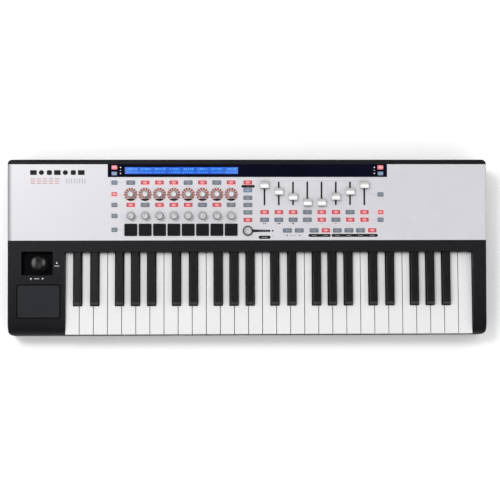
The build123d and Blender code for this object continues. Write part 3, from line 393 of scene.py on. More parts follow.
def display_light():
    """Blue backlight seen through the display: brighter at the ends, mottled, with a fine dot grid."""
    s = Shader("display_backlight")
    x, _, _ = s.parts(s.local())
    ends = s.maths("POWER", s.maths("ABSOLUTE", s.maths("DIVIDE", x, 94.0)), 6.0)
    cloud = s.noise(11 * MM, 3)
    colour = s.ramp(cloud, [(0.3, (0.003, 0.075, 0.52)), (0.55, (0.006, 0.115, 0.66)),
                            (0.8, (0.035, 0.24, 0.80))])
    colour = s.mix(s.maths("MULTIPLY", ends, 0.35), colour, (0.30, 0.42, 0.85))
    dots = s.node("TexVoronoi", {"Vector": s.coords, "Scale": 1 / (0.9 * MM), "Randomness": 0.0})
    colour = s.mix(s.span(dots.outputs["Distance"], 0.0, 0.22, 0.2, 0.6), colour, (0.002, 0.04, 0.5))
    s.set(Base_Color=(0.01, 0.03, 0.12, 1), Roughness=0.25, Emission_Color=colour, Emission_Strength=0.9)
    return s.material


def lamp(name, colour, strength):
    """A lit light guide, a little uneven along its length."""
    s = Shader(name)
    tint = s.ramp(s.noise(3 * MM, 3), [(0.3, scaled(colour, 0.82)), (0.7, colour)])
    s.set(Base_Color=tint, Roughness=0.35, Emission_Color=tint, Emission_Strength=strength)
    return s.material


def ink(name, colour):
    """Screen-printed ink: solid, slightly glossy, with a soft broken edge from the paint below."""
    s = Shader(name)
    tint = s.ramp(s.noise(1.5 * MM, 4), [(0.35, scaled(colour, 0.9)), (0.7, scaled(colour, 1.12, 0.003))])
    s.set(Base_Color=tint, Roughness=s.span(s.noise(2 * MM, 3), 0.4, 0.55), Specular_IOR_Level=0.12)
    return s.material


def metal(name, colour, rough):
    """Plated or drawn metal with a fine grain along X and tarnished patches."""
    s = Shader(name)
    tint = s.ramp(s.noise(8 * MM, 4), [(0.35, scaled(colour, 0.8)), (0.7, colour)])
    lines = s.noise(0.4 * MM, 3, stretch=(0.15, 3, 3))
    s.set(Base_Color=tint, Metallic=1.0, Roughness=s.span(lines, rough * 0.8, rough * 1.25))
    s.bump(lines, 0.000008)
    return s.material


def board():
    """Green solder mask with buried copper tracks."""
    s = Shader("solder_mask")
    tracks = s.node("TexBrick", {"Vector": s.coords, "Scale": 60.0, "Color1": (0.01, 0.10, 0.035, 1),
                                 "Color2": (0.012, 0.085, 0.03, 1), "Mortar": (0.04, 0.22, 0.08, 1),
                                 "Mortar Size": 0.01})
    s.set(Base_Color=tracks.outputs["Color"], Roughness=s.span(s.noise(6 * MM, 3), 0.25, 0.4))
    s.bump(tracks.outputs["Fac"], 0.00003)
    return s.material


def lamp_leak(name, colour, strength):
    """The side wall of a lit cap, where its lamp shines out at the panel."""
    s = Shader(name)
    uneven = s.span(s.noise(1.5 * MM, 3), strength * 0.7, strength * 1.2)
    s.set(Base_Color=rgba(colour), Roughness=0.5, Emission_Color=rgba(colour), Emission_Strength=uneven)
    return s.material


MAT = {
    "case_black": case_moulding(),
    "panel_silver": silver_paint(),
    "window_dark": window_gloss(),
    "touch_surface": plastic("touch_plate", (0.0112, 0.0118, 0.0152), 0.42, 0.00002, 0.35 * MM,
                             gloss=0.14).material,
    "control_body": plastic("inner_plastic", (0.08, 0.08, 0.085), 0.5, 0.00003).material,
    "socket_black": plastic("socket_plastic", (0.012, 0.012, 0.013), 0.38, 0.00002, wear=0.3).material,
    "circuit_board": board(),
    "steel": metal("zinc_steel", (0.55, 0.55, 0.56), 0.35),
    "spring_steel": metal("spring_wire", (0.62, 0.62, 0.64), 0.22),
    "contact_rubber": rubber("contact_silicone", (0.20, 0.20, 0.21), 0.6),
    "foot_rubber": rubber("foot_rubber", (0.015, 0.015, 0.015), 0.85, 0.00006),
    "pad_rubber": rubber("pad_rubber", (0.0036, 0.0036, 0.0050), 0.6, gloss=0.11),
    "key_white": polished_key(),
    "key_black": black_key_plastic(),
    "yoke_plastic": plastic("yoke_plastic", (0.06, 0.06, 0.065), 0.45, 0.00002).material,
    "stick_black": thumb_plastic(),
    "knob_silver": turned_metal("knob_silver", (0.47, 0.47, 0.48), (0.33, 0.33, 0.335), 4.6, 0.44, 0.12),
    "fader_silver": cap_silver(),
    "display": plastic("display_frame", (0.01, 0.01, 0.02), 0.3).material,
    "light_guide": plastic("light_guide", (0.5, 0.25, 0.2), 0.3).material,
    "button_translucent": plastic("button_plastic", (0.25, 0.29, 0.34), 0.45).material,
}
INK_BLACK = ink("ink_black", (0.006, 0.006, 0.007))
INK_GREY = ink("ink_grey", (0.30, 0.30, 0.31))
INK_RED = ink("ink_red", (0.42, 0.10, 0.09))
INK_WHITE = ink("ink_white", (0.80, 0.80, 0.80))
BUTTON_DIM = button_cap("button_unlit", (0.138, 0.158, 0.192), (0.190, 0.208, 0.244))
# An unlit cap, with a faint painted glow.
BUTTON_BLUE_PAINTED_GLOW = button_cap("button_blue_grey_glow", (0.145, 0.200, 0.310), (0.215, 0.290, 0.420), 0.05)
BUTTON_GREEN = button_cap("button_green_grey", (0.135, 0.190, 0.190), (0.190, 0.255, 0.248))
BUTTON_LIT = button_cap("button_lit", (0.25, 0.034, 0.052), (0.70, 0.24, 0.22), 0.72)
BUTTON_PINK = button_cap("button_pink", (0.44, 0.125, 0.150), (0.66, 0.30, 0.32), 0.5)
LEAK = lamp_leak("button_leak", (1.0, 0.20, 0.22), 2.0)


def dress_cad():
    """Give every CAD node the material of its slot in the record."""
    for entry in frame["record"]["subparts"]:
        materials = NODES[entry["node"]].data.materials
        materials.clear()
        materials.append(MAT[entry["material_slot"]])


# Mesh tools ---------------------------

def add_object(name, data):
    """A new object in the scene."""
    obj = bpy.data.objects.new(name, data)
    bpy.context.scene.collection.objects.link(obj)
    return obj


class Piece:
    """A mesh under construction. Shapes are given in millimetres in a local place, and keep that place."""

    def __init__(self, name, *materials):
        self.name = name
        self.materials = materials
        self.bm = bmesh.new()
        self.local = self.bm.verts.layers.float_vector.new("local")

    def vert(self, place, x, y, z):
        """A corner, which keeps its local place in millimetres."""
        v = self.bm.verts.new(place @ Vector((x * MM, y * MM, z * MM)))
        v[self.local] = Vector((x, y, z))
        return v

    def face(self, verts, slot=0, smooth=True):
        f = self.bm.faces.new(verts)
        f.material_index = slot
        f.smooth = smooth
        return f

    def rings(self, place, rings, slot=0, loop=False, smooth=True):
        """Skin a list of rings, each a list of (x, y, z). The ends are closed, or joined if they loop."""
        made = [[self.vert(place, *p) for p in ring] for ring in rings]
        count = len(made[0])
        for lower, upper in zip(made, made[1:] + made[:1] if loop else made[1:]):
            for i in range(count):
                j = (i + 1) % count
                self.face([lower[i], lower[j], upper[j], upper[i]], slot, smooth)
        if not loop:
            self.face(made[0][::-1], slot, False)
            self.face(made[-1], slot, False)

    def block(self, place, width, length, low, high, corner=0.0, edge=0.0, slot=0, steps=3):
        """A block with rounded plan corners and a rounded top edge."""
        rings = [rounded(width, length, corner, low)]
        for i in range(steps + 1):
            angle = i / steps * pi / 2
            inset = edge * (1 - cos(angle))
            rise = high - edge * (1 - sin(angle))
            rings.append(rounded(width - 2 * inset, length - 2 * inset, max(corner - inset, 0), rise))
            if not edge:
                break
        self.rings(place, rings, slot)

    def lathe(self, place, profile, slot=0, segments=96, wave=None, loop=False):
        """Turn a list of (radius, height) round the local Z. wave(angle, height) scales the radius."""
        rings = []
        for radius, height in profile:
            rings.append([])
            for i in range(segments):
                a = 2 * pi * i / segments
                r = radius * (wave(a, height) if wave else 1)
                rings[-1].append((r * cos(a), r * sin(a), height))
        self.rings(place, rings, slot, loop)

    def finish(self, body, replaced=()):
        """Make the object, riding on a body, and hide the CAD nodes it stands for."""
        mesh = bpy.data.meshes.new(self.name)
        bmesh.ops.recalc_face_normals(self.bm, faces=self.bm.faces)
        self.bm.to_mesh(mesh)
        self.bm.free()
        obj = add_object(self.name, mesh)
        for material in self.materials:
            mesh.materials.append(material)
        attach(obj, body)
        if replaced:
            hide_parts(*replaced)
        return obj


def rounded(width, length, corner, height, off=0.0, steps=4):
    """The points of a rounded rectangle at a height, moved off to the right and the rear."""
    corner = max(min(corner, width / 2 - 0.001, length / 2 - 0.001), 0.001)
    points = []
    for quarter, (sx, sy) in enumerate(((1, 1), (-1, 1), (-1, -1), (1, -1))):
        cx, cy = sx * (width / 2 - corner), sy * (length / 2 - corner)
        for i in range(steps + 1):
            a = (quarter + i / steps) * pi / 2
            points.append((cx + corner * cos(a) + off, cy + corner * sin(a) + off, height))
    return points


def islands(node):
    """The separate solids of a CAD node, as lists of points."""
    mesh = NODES[node].data
    bm = bmesh.new()
    bm.from_mesh(mesh)
    bmesh.ops.remove_doubles(bm, verts=bm.verts, dist=1e-7)
    seen, groups = set(), []
    for start in bm.verts:
        if start in seen:
            continue
        seen.add(start)
        group, queue = [], [start]
        while queue:
            v = queue.pop()
            group.append(v.co.copy())
            for edge in v.link_edges:
                other = edge.other_vert(v)
                if other not in seen:
                    seen.add(other)
                    queue.append(other)
        groups.append(group)
    bm.free()
    return groups


PANEL = panel(PANEL_POINT)


def shifted(place, x, y):
    """A place, moved by local millimetres."""
    return place @ Matrix.Translation(Vector((x, y, 0)) * MM)


def panel_box(points, above=-4.0):
    """The box, in panel millimetres, of the points that lie above a height on the panel."""
    inverse = PANEL.inverted()
    local = [inverse @ p / MM for p in points]
    local = [p for p in local if p.z > above]
    low = Vector(min(p[i] for p in local) for i in range(3))
    high = Vector(max(p[i] for p in local) for i in range(3))
    return low, high


def panel_at(u, v):
    """A place on the panel, from millimetres across and up the slope from the speed dial."""
    return shifted(PANEL, u, v)


def up_slope(y):
    """Millimetres up the panel's slope from the speed dial to a plan Y in millimetres."""
    return (y * MM - PANEL_POINT.y) / sqrt(1 - PANEL_UP.y ** 2) / MM


# Buttons and pads ---------------------

def control_spots(node):
    """Each cap of a node as (u, v, width, length, top), from the rear row to the front, left to right."""
    spots = []
    for points in islands(node):
        low, high = panel_box(points)
        spots.append(((low.x + high.x) / 2, (low.y + high.y) / 2, high.x - low.x, high.y - low.y, high.z))
    return sorted(spots, key=lambda s: (-round(s[1] / 3), s[0]))


BUTTON_LOW = -6
CAP_THICK = 0.8
PAD_LOW = -5.4
# Caps are lit red (r) or pink (p), unlit (g), or unlit and tinted blue (b) or green (n); the unlit blue ones still
# have a faint painted glow
CAP_LOOKS = {"r": BUTTON_LIT, "p": BUTTON_PINK, "g": BUTTON_DIM, "b": BUTTON_BLUE_PAINTED_GLOW, "n": BUTTON_GREEN}
LIT = {
    "encoder_buttons": "grrrgrgr" "rgrrrgrg",
    "fader_buttons": "rrrgrrgr" "ggggrgrr",
    "select_buttons": "pp" "bb" "g" "rg" "g" "r" "g" "g" "g",
    "mode_buttons": "r" "b" "g" "g" "n" "r" "gggrgggr",
}


def build_buttons():
    """Button caps on their lit side walls and hidden flanges, in the order of control_spots."""
    for node, pattern in LIT.items():
        looks = sorted(set(pattern))
        piece = Piece(node + "_caps", *[CAP_LOOKS[k] for k in looks], LEAK)
        for (u, v, width, length, top), look in zip(control_spots(node), pattern):
            place = panel_at(u, v)
            slot = looks.index(look)
            piece.block(place, width, length, top - CAP_THICK, top, 0.9, 0.45, slot, 4)
            side = len(looks) if look in "rp" else slot
            piece.block(place, width - 0.1, length - 0.1, BUTTON_LOW + 0.8, top - 0.7, 0.85, 0, side)
            piece.block(place, width + 1.6, length + 1.6, BUTTON_LOW, BUTTON_LOW + 1, 1, 0.1, slot, 1)
        piece.finish(node, [node])


def build_pads():
    """Soft pads with rounded rims."""
    piece = Piece("drum_pad_caps", MAT["pad_rubber"])
    for u, v, width, length, top in control_spots("drum_pads"):
        place = panel_at(u, v)
        piece.block(place, width, length, PAD_LOW, top, 1.5, 0.8, 0, 5)
    piece.finish("drum_pads", ["drum_pads"])


# Knobs --------------------------------

SHAFT = 3.0
SHAFT_LOW = -10.5
CENTRE = 0.05


def flutes(count, depth, low, high, radius):
    """How far finger flutes pull in a knob's side between two heights."""
    def wave(angle, height):
        if not low <= height <= high:
            return 1
        groove = max(0.0, cos(angle * count)) ** 3
        return 1 - depth / radius * groove
    return wave


def foot_profile(base, low, rise, inset):
    """(radius, height) pairs from the shaft's foot round the knob's underside to the top of its skirt."""
    return [(SHAFT, SHAFT_LOW), (SHAFT, low), (base - 0.2, low), (base, low + 0.25), (base, low + rise),
            (base - inset, low + 1.8)]


def crown_profile(top, high):
    """The rounded upper edge of a knob."""
    return [(top - 0.35 * (1 - cos(a)), high - 0.6 + 0.6 * sin(a)) for a in (pi / 6, pi / 3, pi / 2)]


def knob_profile(base, top, low, high):
    """(radius, height) pairs from the shaft's foot to the middle of the dished top."""
    shoulder = high - 1.7
    side = [(base - 0.45 + (top - base + 0.45) * t, low + 2.2 + (shoulder - low - 2.2) * t)
            for t in (0, 0.05, 0.5, 0.95, 1)]
    dish = [(top - 1.0, high - 0.1), (top - 1.35, high - 0.42), (top * 0.4, high - 0.5), (CENTRE, high - 0.5)]
    return foot_profile(base, low, 1.6, 0.15) + side + [(top, high - 0.6)] + crown_profile(top, high) + dish


def build_knob(node, joint, profile, material, flute, pointer=None):
    """A turned knob on its CAD body, with a pointer slot if it has an end to its turn."""
    place = panel(pivot(joint))
    piece = Piece(node + "_cap", material, INK_BLACK)
    piece.lathe(place, profile, 0, flute["count"] * 8, flutes(**flute))
    if pointer is not None:
        high = max(height for _, height in profile)
        turned = place @ Matrix.Rotation(radians(-pointer), 4, "Z")
        piece.block(shifted(turned, 0, 2.4), 0.8, 2.2, high - 0.9, high - 0.36, 0.35, 0.05, 1, 2)
    piece.finish(node, [node])


def encoder_profile():
    """A low skirt, then a slim waist that carries the crown."""
    low, high, skirt, waist, top = 1.2, 14.5, 6.5, 5.1, 4.1
    side = [(waist + 0.15, low + 2.1), (waist, low + 2.6)]
    side += [(waist + (top - waist) * t, low + 2.6 + (high - low - 3.4) * t) for t in (0.05, 0.5, 0.95, 1)]
    dish = [(top - 0.8, high - 0.1), (top - 1.1, high - 0.4), (CENTRE, high - 0.45)]
    return foot_profile(skirt, low, 1.4, 0.3) + side + crown_profile(top, high) + dish


def build_knobs():
    """Encoders, rotary controls with their pointers, and the speed dial."""
    # The encoders' pinkish side is a painted reflection of their red light rings.
    encoder = turned_metal("encoder_silver", (0.60, 0.60, 0.615), (0.42, 0.345, 0.35), 5.0, 0.4, 0.2)
    for i in range(1, 9):
        build_knob(f"encoder_knob_{i}", f"encoder_{i}_turn", encoder_profile(), encoder,
                   dict(count=18, depth=0.35, low=3.9, high=13.4, radius=5.1))
        low, high = JOINTS[f"pot_{i}_turn"]["range_deg"]
        build_knob(f"pot_knob_{i}", f"pot_{i}_turn", knob_profile(6.9, 5.9, 0.8, 11.5), MAT["knob_silver"],
                   dict(count=24, depth=0.5, low=3.0, high=10.5, radius=6.9), -(low + high) / 2)
    build_knob("speed_dial", "speed_dial_turn", knob_profile(6.6, 6.0, 0.8, 8.5), MAT["knob_silver"],
               dict(count=24, depth=0.5, low=3.0, high=7.5, radius=6.6))


# Light rings --------------------------

RING_OUT = 11.0
RING_IN = 7.4
RING_HOLE = 3.6
RING_LAMPS = 11
RING_SWEEP = 270
RING_TOP = 0.6
RING_LOW = -2.5
LAMP_LOW = 0.2
RING_GLOW = lamp("ring_glow", (0.50, 0.235, 0.205), 0.35)
RING_LENS = plastic("ring_lens", (0.55, 0.37, 0.37), 0.3, coat=0.3).material
RING_BAR = lamp("ring_bar", (0.080, 0.020, 0.020), 0.15)


def slab(piece, place, outline, low, high, slot=0):
    """A flat plate with a plan outline."""
    piece.rings(place, [[(x, y, z) for x, y in outline] for z in (low, high)], slot)


def arc(radius, middle, half, steps):
    """Points on an arc, clockwise from the rear in degrees."""
    angles = [radians(middle - half + 2 * half * i / steps) for i in range(steps + 1)]
    return [(radius * sin(a), radius * cos(a)) for a in angles]


def sector(piece, place, inner, outer, middle, half, high, slot):
    """A curved bar between two radii, half degrees to each side of its middle."""
    slab(piece, place, arc(outer, middle, half, 3) + arc(inner, middle, half, 3)[::-1], LAMP_LOW, high, slot)


def front_segment(piece, place, half, high, slot):
    """The dark segment at the ring's front: an arc inside the ring's edge, closed by a straight chord."""
    edge = arc(RING_OUT - 0.15, 180, half, 16)
    chord = [(side * RING_IN * 0.85, -RING_IN) for side in (-1, 1)]
    slab(piece, place, edge + chord, LAMP_LOW, high, slot)


def build_light_rings():
    """Translucent rings with eleven lamps each, dark bars between the lamps, and a dark front segment."""
    piece = Piece("encoder_light_rings", RING_LENS, RING_GLOW, RING_BAR, INK_BLACK)
    step = RING_SWEEP / (RING_LAMPS - 1)
    for i in range(1, 9):
        place = panel(pivot(f"encoder_{i}_turn"))
        piece.lathe(place, [(RING_HOLE, RING_LOW), (RING_OUT, RING_LOW), (RING_OUT, RING_TOP - 0.25),
                            (RING_OUT - 0.2, RING_TOP - 0.05), (RING_OUT - 0.4, RING_TOP - 0.02),
                            (RING_IN + 0.2, RING_TOP - 0.02), (RING_IN, RING_TOP - 0.3),
                            (RING_HOLE, RING_TOP - 0.3)], loop=True)
        for k in range(RING_LAMPS):
            lamp_at = -RING_SWEEP / 2 + k * step
            sector(piece, place, RING_IN + 0.4, RING_OUT - 0.4, lamp_at, 7, RING_TOP - 0.01, 1)
            if k < RING_LAMPS - 1:
                sector(piece, place, RING_IN + 0.3, RING_OUT - 0.1, lamp_at + step / 2, 6, RING_TOP, 2)
        front_segment(piece, place, 40, RING_TOP + 0.02, 3)
    piece.finish(BODY, ["light_rings"])


# Printing on the panel ----------------

INK_LOW = -0.02
INK_THICK = 0.05
OVERPRINT = 0.06


def print_bar(piece, u, v, width, length, slot=0, corner=0.3):
    """A printed bar on the panel."""
    piece.block(panel_at(u, v), width, length, INK_LOW, INK_THICK, corner, 0.0, slot)


def overprint(piece, u, v, width, length):
    """A grey bar printed on a black one."""
    piece.block(panel_at(u, v), width, length, 0, OVERPRINT, 0.2, 0, 1)


def build_printing():
    """Lines, label bars and generic marks, printed in black, grey and red."""
    piece = Piece("panel_printing", INK_BLACK, INK_GREY, INK_RED)
    for u, v, width, *_ in control_spots("select_buttons"):
        if v < up_slope(116):
            outward = -1 if u < 0 else 1
            print_bar(piece, u - outward * (width / 2 + 6.5), v, 10.5, 0.35, 1, 0.1)
    faders = [control_spots(f"fader_{i}")[0][0] for i in (1, 8)]
    print_bar(piece, sum(faders) / 2, up_slope(109.5), faders[1] - faders[0], 0.3, 1, 0.1)
    centre = [s for s in control_spots("mode_buttons") if abs(s[0]) < 2]
    between = (centre[0][1] + centre[1][1]) / 2
    print_bar(piece, 0.4, between, 22.5, 4.6, 0, 2.2)
    for k in (-1, 0, 1):
        print_bar(piece, 0.4 + 6 * k, between, 3.4, 0.5, 1, 0.1)
    for a, b in zip(centre[1:4], centre[2:5]):
        print_bar(piece, 0, (a[1] + b[1]) / 2, 3.2, 0.4, 1, 0.1)
    build_dial_marks(piece)
    build_row_marks(piece)
    build_nameplate(piece)
    piece.finish(BODY)


def build_dial_marks(piece):
    """The dial's dark ring, the line from it to a dot, and a label bar."""
    inner, outer = 6.9, 8.6
    ring = [(inner, INK_LOW), (outer, INK_LOW), (outer, INK_THICK), (inner, INK_THICK)]
    piece.lathe(PANEL, ring, loop=True)
    taper = [(8.2, 2.4), (20, 2.0), (37.5, 1.7), (37.5, -1.7), (20, -2.0), (8.2, -2.4)]
    slab(piece, PANEL, taper, INK_LOW, INK_THICK)
    for k in range(5):
        overprint(piece, 20 + k * 3.0, 0, 1.5, 0.7)
    print_bar(piece, 41.4, 0, 3.0, 2.8, 0, 1.3)
    triangle(piece, panel_at(41.6, up_slope(17.6)), 1.4, 90, 1)
    label_at = up_slope(15.9)
    print_bar(piece, 28, label_at, 20.0, 5.4, 0, 2.6)
    overprint(piece, 28, label_at, 9.5, 0.8)


def build_row_marks(piece):
    """Transport marks before the fader buttons, arrows by the presets, and the bars of the last row."""
    lower = control_spots("fader_buttons")[8:]
    v = lower[0][1] - 6.3
    marks = ["<<", "<s", "s", ">", "-", "o"]
    for (u, *_), shapes in zip(lower, marks):
        for k, shape in enumerate(shapes):
            at = u + (k - (len(shapes) - 1) / 2) * 3.0
            if shape in "<>":
                turn = 90 if shape == ">" else -90
                triangle(piece, panel_at(at, v), 1.5, turn, 0 if len(shapes) > 1 else 1)
            elif shape == "-":
                print_bar(piece, at, v, 4.0, 0.9, 1, 0.4)
            else:
                slot, corner = (2, 1.1) if shape == "o" else (0, 0.1)
                print_bar(piece, at, v, 2.2, 2.2, slot, corner)
    row = [s for s in control_spots("mode_buttons") if s[0] > 20]
    presets, transport = row[:2], row[2:]
    v = presets[0][1] - 8.4
    for side, (u, *_) in zip((-1, 1), presets):
        triangle(piece, panel_at(u + side * 0.5, v), 1.7, side * 90, 0)
    print_bar(piece, (presets[0][0] + presets[1][0]) / 2, v, 11.0, 0.9, 1, 0.3)
    for first, last in ((0, 1), (2, 5)):
        left = transport[first][0] - 9.6
        right = transport[last][0] + 9.6 - (1.2 if last == 1 else 0)
        print_bar(piece, (left + right) / 2, v, right - left, 5.0, 0, 2.3)
        for u, *_ in transport[first:last + 1]:
            overprint(piece, u, v, 8.0, 0.7)


def triangle(piece, place, size, turn, slot, high=INK_THICK):
    """A small printed arrow head, turned clockwise from the rear."""
    angles = [radians(turn + a) for a in (0, 120, 240)]
    slab(piece, place, [(size * sin(a), size * cos(a)) for a in angles], INK_LOW, high, slot)


def build_nameplate(piece):
    """Plain geometric marks in the panel's rear left corner, in place of a name."""
    left, v = -316, up_slope(123.7)
    for i in range(7):
        size = 8.6 if i % 3 == 0 else 6.2
        print_bar(piece, left - 40 + i * 13.2, v, size + 2.4, 8.0, 0, (0.6, 4.0, 2.4)[i % 3])
    low = up_slope(109.6)
    for i in range(5):
        for row in (-1, 0, 1):
            print_bar(piece, left - 41 + i * 10.0, low + row * 3.6, 7.6, 1.0, 2, 0.4)
    for i in range(8):
        print_bar(piece, left + 14.5 + i * 4.4, low, 1.1, 8.0, 1, 0.4)


# Display ------------------------------

MARKS_AT = 211.8
WINDOW_TOP = 0.36


def build_display():
    """The lit face of the display, with a bar graph and dots in place of words, and the window's marks."""
    glass = [p for g in islands("lcd_module") for p in g]
    bottom, top = panel_box(glass, -1.0)
    u, v = (bottom.x + top.x) / 2, (bottom.y + top.y) / 2
    width, length = top.x - bottom.x, top.y - bottom.y
    face = Piece("display_face", display_light())
    face.block(panel_at(u, v), width - 0.2, length - 0.2, -0.05, 0.06, 0.4, 0.05)
    face.finish(BODY)
    pixels = Piece("display_pixels", lamp("display_pixel", (0.05, 0.30, 0.85), 0.8))
    groups, low, high = 8, 0.05, 0.08
    for i in range(groups):
        middle = u - width / 2 + (i + 0.5) * width / groups
        for k in range(5):
            level = (3 * i + 5 * k) % 7
            pixels.block(panel_at(middle - 7 + k * 3.5, v + 2.6), 2.2, 0.8 + 0.25 * level, low, high, 0.1)
        for k in range(6):
            pixels.block(panel_at(middle - 8 + k * 3.2, v - 2.8), 1.4, 1.0, low, high, 0.1)
    pixels.finish(BODY)
    marks = Piece("window_marks", INK_WHITE)
    page = up_slope(127.1)
    for side in (-1, 1):
        triangle(marks, panel_at(side * MARKS_AT, page + 5.0), 1.5, 0, 0, WINDOW_TOP)
        marks.block(panel_at(side * MARKS_AT, page), 2.2, 0.7, 0.2, WINDOW_TOP, 0.2)
        triangle(marks, panel_at(side * MARKS_AT, page - 5.0), 1.5, 180, 0, WINDOW_TOP)
    marks.finish(BODY)


# Joystick and touch pad ---------------

DOME = 22.0  # radius
THUMB = 12.0  # radius
WELL = (52.0, 39.6)
WELL_FLOOR = 58.0
WELL_OFF = 3.0  # how far the well's middle lies left of the stick
WELL_HOLE = 19.5  # radius
SHADE_SHEET_THICK = 0.25


def build_joystick():
    """The stick's dust dome, narrow neck and broad dished thumb piece."""
    place = Matrix.Translation(STICK)
    skin = DOME - 1.5
    outer = [(DOME * sin(radians(a)), DOME * cos(radians(a))) for a in range(76, 12, -4)]
    inner = [(skin * sin(radians(a)), skin * cos(radians(a))) for a in range(12, 77, 4)]
    dome = Piece("joystick_dome", rubber("dome_skin", (0.0030, 0.0030, 0.0036), 0.5, 0.00001))
    dome.lathe(place, [*inner, *outer, (5.2, DOME - 0.7), (3.6, DOME - 0.6), (3.6, DOME - 2)], loop=True)
    dome.finish("joystick_stick")
    thumb = Piece("joystick_thumb_piece", MAT["stick_black"])
    crown = DOME + 14.8
    flare = [(4.8 + (THUMB - 5.4) * (1 - cos(t)), DOME + 3.4 + 6.4 * sin(t))
             for t in (0, pi / 10, pi / 5, 3 * pi / 10, 2 * pi / 5, pi / 2)]
    shoulder = [(THUMB - 3.4 + 3.4 * cos(t), crown - 3.9 + 3.8 * sin(t))
                for t in (-0.3, 0, pi / 8, pi / 4, 3 * pi / 8, pi / 2)]
    dish = [(6.8, crown - 0.2), (5.4, crown - 0.5), (3.4, crown - 0.85), (CENTRE, crown - 0.95)]
    thumb.lathe(place, [(3.5, -1), (3.5, DOME + 0.4), (5.4, DOME + 0.6), (4.9, DOME + 1.8), *flare,
                        *shoulder, *dish], segments=128)
    thumb.finish("joystick_stick")
    hub = Piece("joystick_hub", MAT["yoke_plastic"])
    hub.block(place, 9, 9, -4.5, 4.5, 0.8, 0.4)
    hub.lathe(place @ Matrix.Rotation(pi / 2, 4, "Y"), [(1.4, -11), (1.4, 11)], 0, 32)
    hub.finish("joystick_stick", ["joystick_stick"])


def build_well_painted_shade():
    """A thin dull black sheet of painted shade in the joystick's well, open round the dome."""
    base = Matrix.Translation((STICK.x - WELL_OFF * MM, STICK.y, 0))
    # Painted shade: near-black plastic for the sheet over the well's floor and walls.
    painted_shade_plastic = plastic("well_painted_shade", (0.0009, 0.0009, 0.0013), 0.5, 0.00001, gloss=0.03)
    shade_sheet = Piece("joystick_well_painted_shade", painted_shade_plastic.material)
    inside = rounded(WELL[0] - 0.6, WELL[1] - 0.6, 2.2, 0)
    outside = rounded(*WELL, 2.4, 0)

    def at_rim(points):
        tops = [base @ Vector((x * MM, y * MM, 0)) for x, y, _ in points]
        return [(x, y, cheek(t.x, t.y).translation.z / MM - 1.2) for (x, y, _), t in zip(points, tops)]

    def at(points, height):
        return [(x, y, height) for x, y, _ in points]

    opening = []
    for x, y, _ in outside:
        away = Vector((x - WELL_OFF, y)).normalized() * WELL_HOLE
        opening.append((away.x + WELL_OFF, away.y, 0))
    under, over = WELL_FLOOR + 0.03, WELL_FLOOR + SHADE_SHEET_THICK
    shade_sheet.rings(base, [at(opening, under), at(outside, under), at_rim(outside),
                        at_rim(inside), at(inside, over), at(opening, over)], loop=True, smooth=False)
    shade_sheet.finish(BODY)


def build_touchpad_shadow_band():
    """A black band round the touch pad: its dark gap, widened by painted shadow at the rear and right."""
    low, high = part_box("touchpad")
    place = cheek((low.x + high.x) / 2, (low.y + high.y) / 2)
    width, length = (high.x - low.x) / MM, (high.y - low.y) / MM
    painted_shade_plastic = plastic("touchpad_painted_shadow", (0.0012, 0.0012, 0.0016), 0.5, 0.00001, gloss=0.04)
    shadow_band = Piece("touchpad_shadow_band", painted_shade_plastic.material)
    rings = []
    # Painted shadow: the outer edge is moved to the rear and right, where the recess's shadow falls.
    outer, inner = (2.8, 0.5), (0.3, 0)
    for (wider, off), height in ((outer, INK_LOW), (outer, INK_THICK), (inner, INK_THICK), (inner, INK_LOW)):
        rings.append(rounded(width + wider, length + wider, 3.5 + wider / 2, height, off))
    shadow_band.rings(place, rings, loop=True, smooth=False)
    shadow_band.finish(BODY)


def build_cheek_marks():
    """White arrows and grey bars beside the joystick."""
    marks = Piece("joystick_marks", INK_WHITE, INK_GREY)
    right, left, front = 29.5, -3.6, -25.2

    def beside(x, y):
        return cheek(STICK.x + x * MM, STICK.y + y * MM)

    triangle(marks, beside(right, 0.6), 1.7, 0, 0)
    for side in (-1, 1):
        triangle(marks, beside(left + side * 9.7, front), 1.7, side * 90, 0)
    for x, y in ((right, -4.2), (left, front)):
        marks.block(beside(x, y), 8.6, 1.6, INK_LOW, INK_THICK, 0.5, 0, 1)
    marks.finish(BODY)


def build_faders():
    """Fader caps with a scooped top and rounded rims, each on a blade in its slot."""
    for i in range(1, 9):
        node = f"fader_{i}"
        u, v, width, length, top = control_spots(node)[0]
        half, low, scoop = length / 2, 1.2, top - 3.4
        rear = [(half, 3.0), (half - 0.95, top - 1.0), (half - 1.15, top - 0.25), (half - 1.5, top)]
        dish = [1 - 2 * k / 16 for k in range(17)]
        outline = [(-half, low), (half, low), *rear]
        outline += [((half - 1.9) * t, scoop + (top - scoop - 0.1) * abs(t) ** 1.35) for t in dish]
        outline += [(-y, z) for y, z in reversed(rear)]
        middle = (low + top) / 2
        ends = [(width / 2, 0.94), (width / 2 - 0.12, 0.98), (width / 2 - 0.35, 1.0)]
        slices = [(-x, k) for x, k in ends] + ends[::-1]
        rings = [[(x, y * k, middle + (z - middle) * k) for y, z in outline] for x, k in slices]
        piece = Piece(node + "_cap", MAT["fader_silver"], MAT["control_body"])
        piece.rings(panel_at(u, v), rings, smooth=False)
        piece.block(panel_at(u, v), 1.4, 4.0, -8, 1.4, 0.1, 0, 1)
        piece.finish(node, [node])


# Sockets on the rear ------------------

def rear_place(mount):
    """A place on a rear socket's mouth, with local Z out of the rear wall and Y up."""
    spot = Vector(mount["pos_m"])
    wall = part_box("bottom_case")[1].y
    turn = Matrix(((-1, 0, 0), (0, 0, 1), (0, 1, 0))).to_4x4()
    return Matrix.Translation((spot.x, wall, spot.z)) @ turn


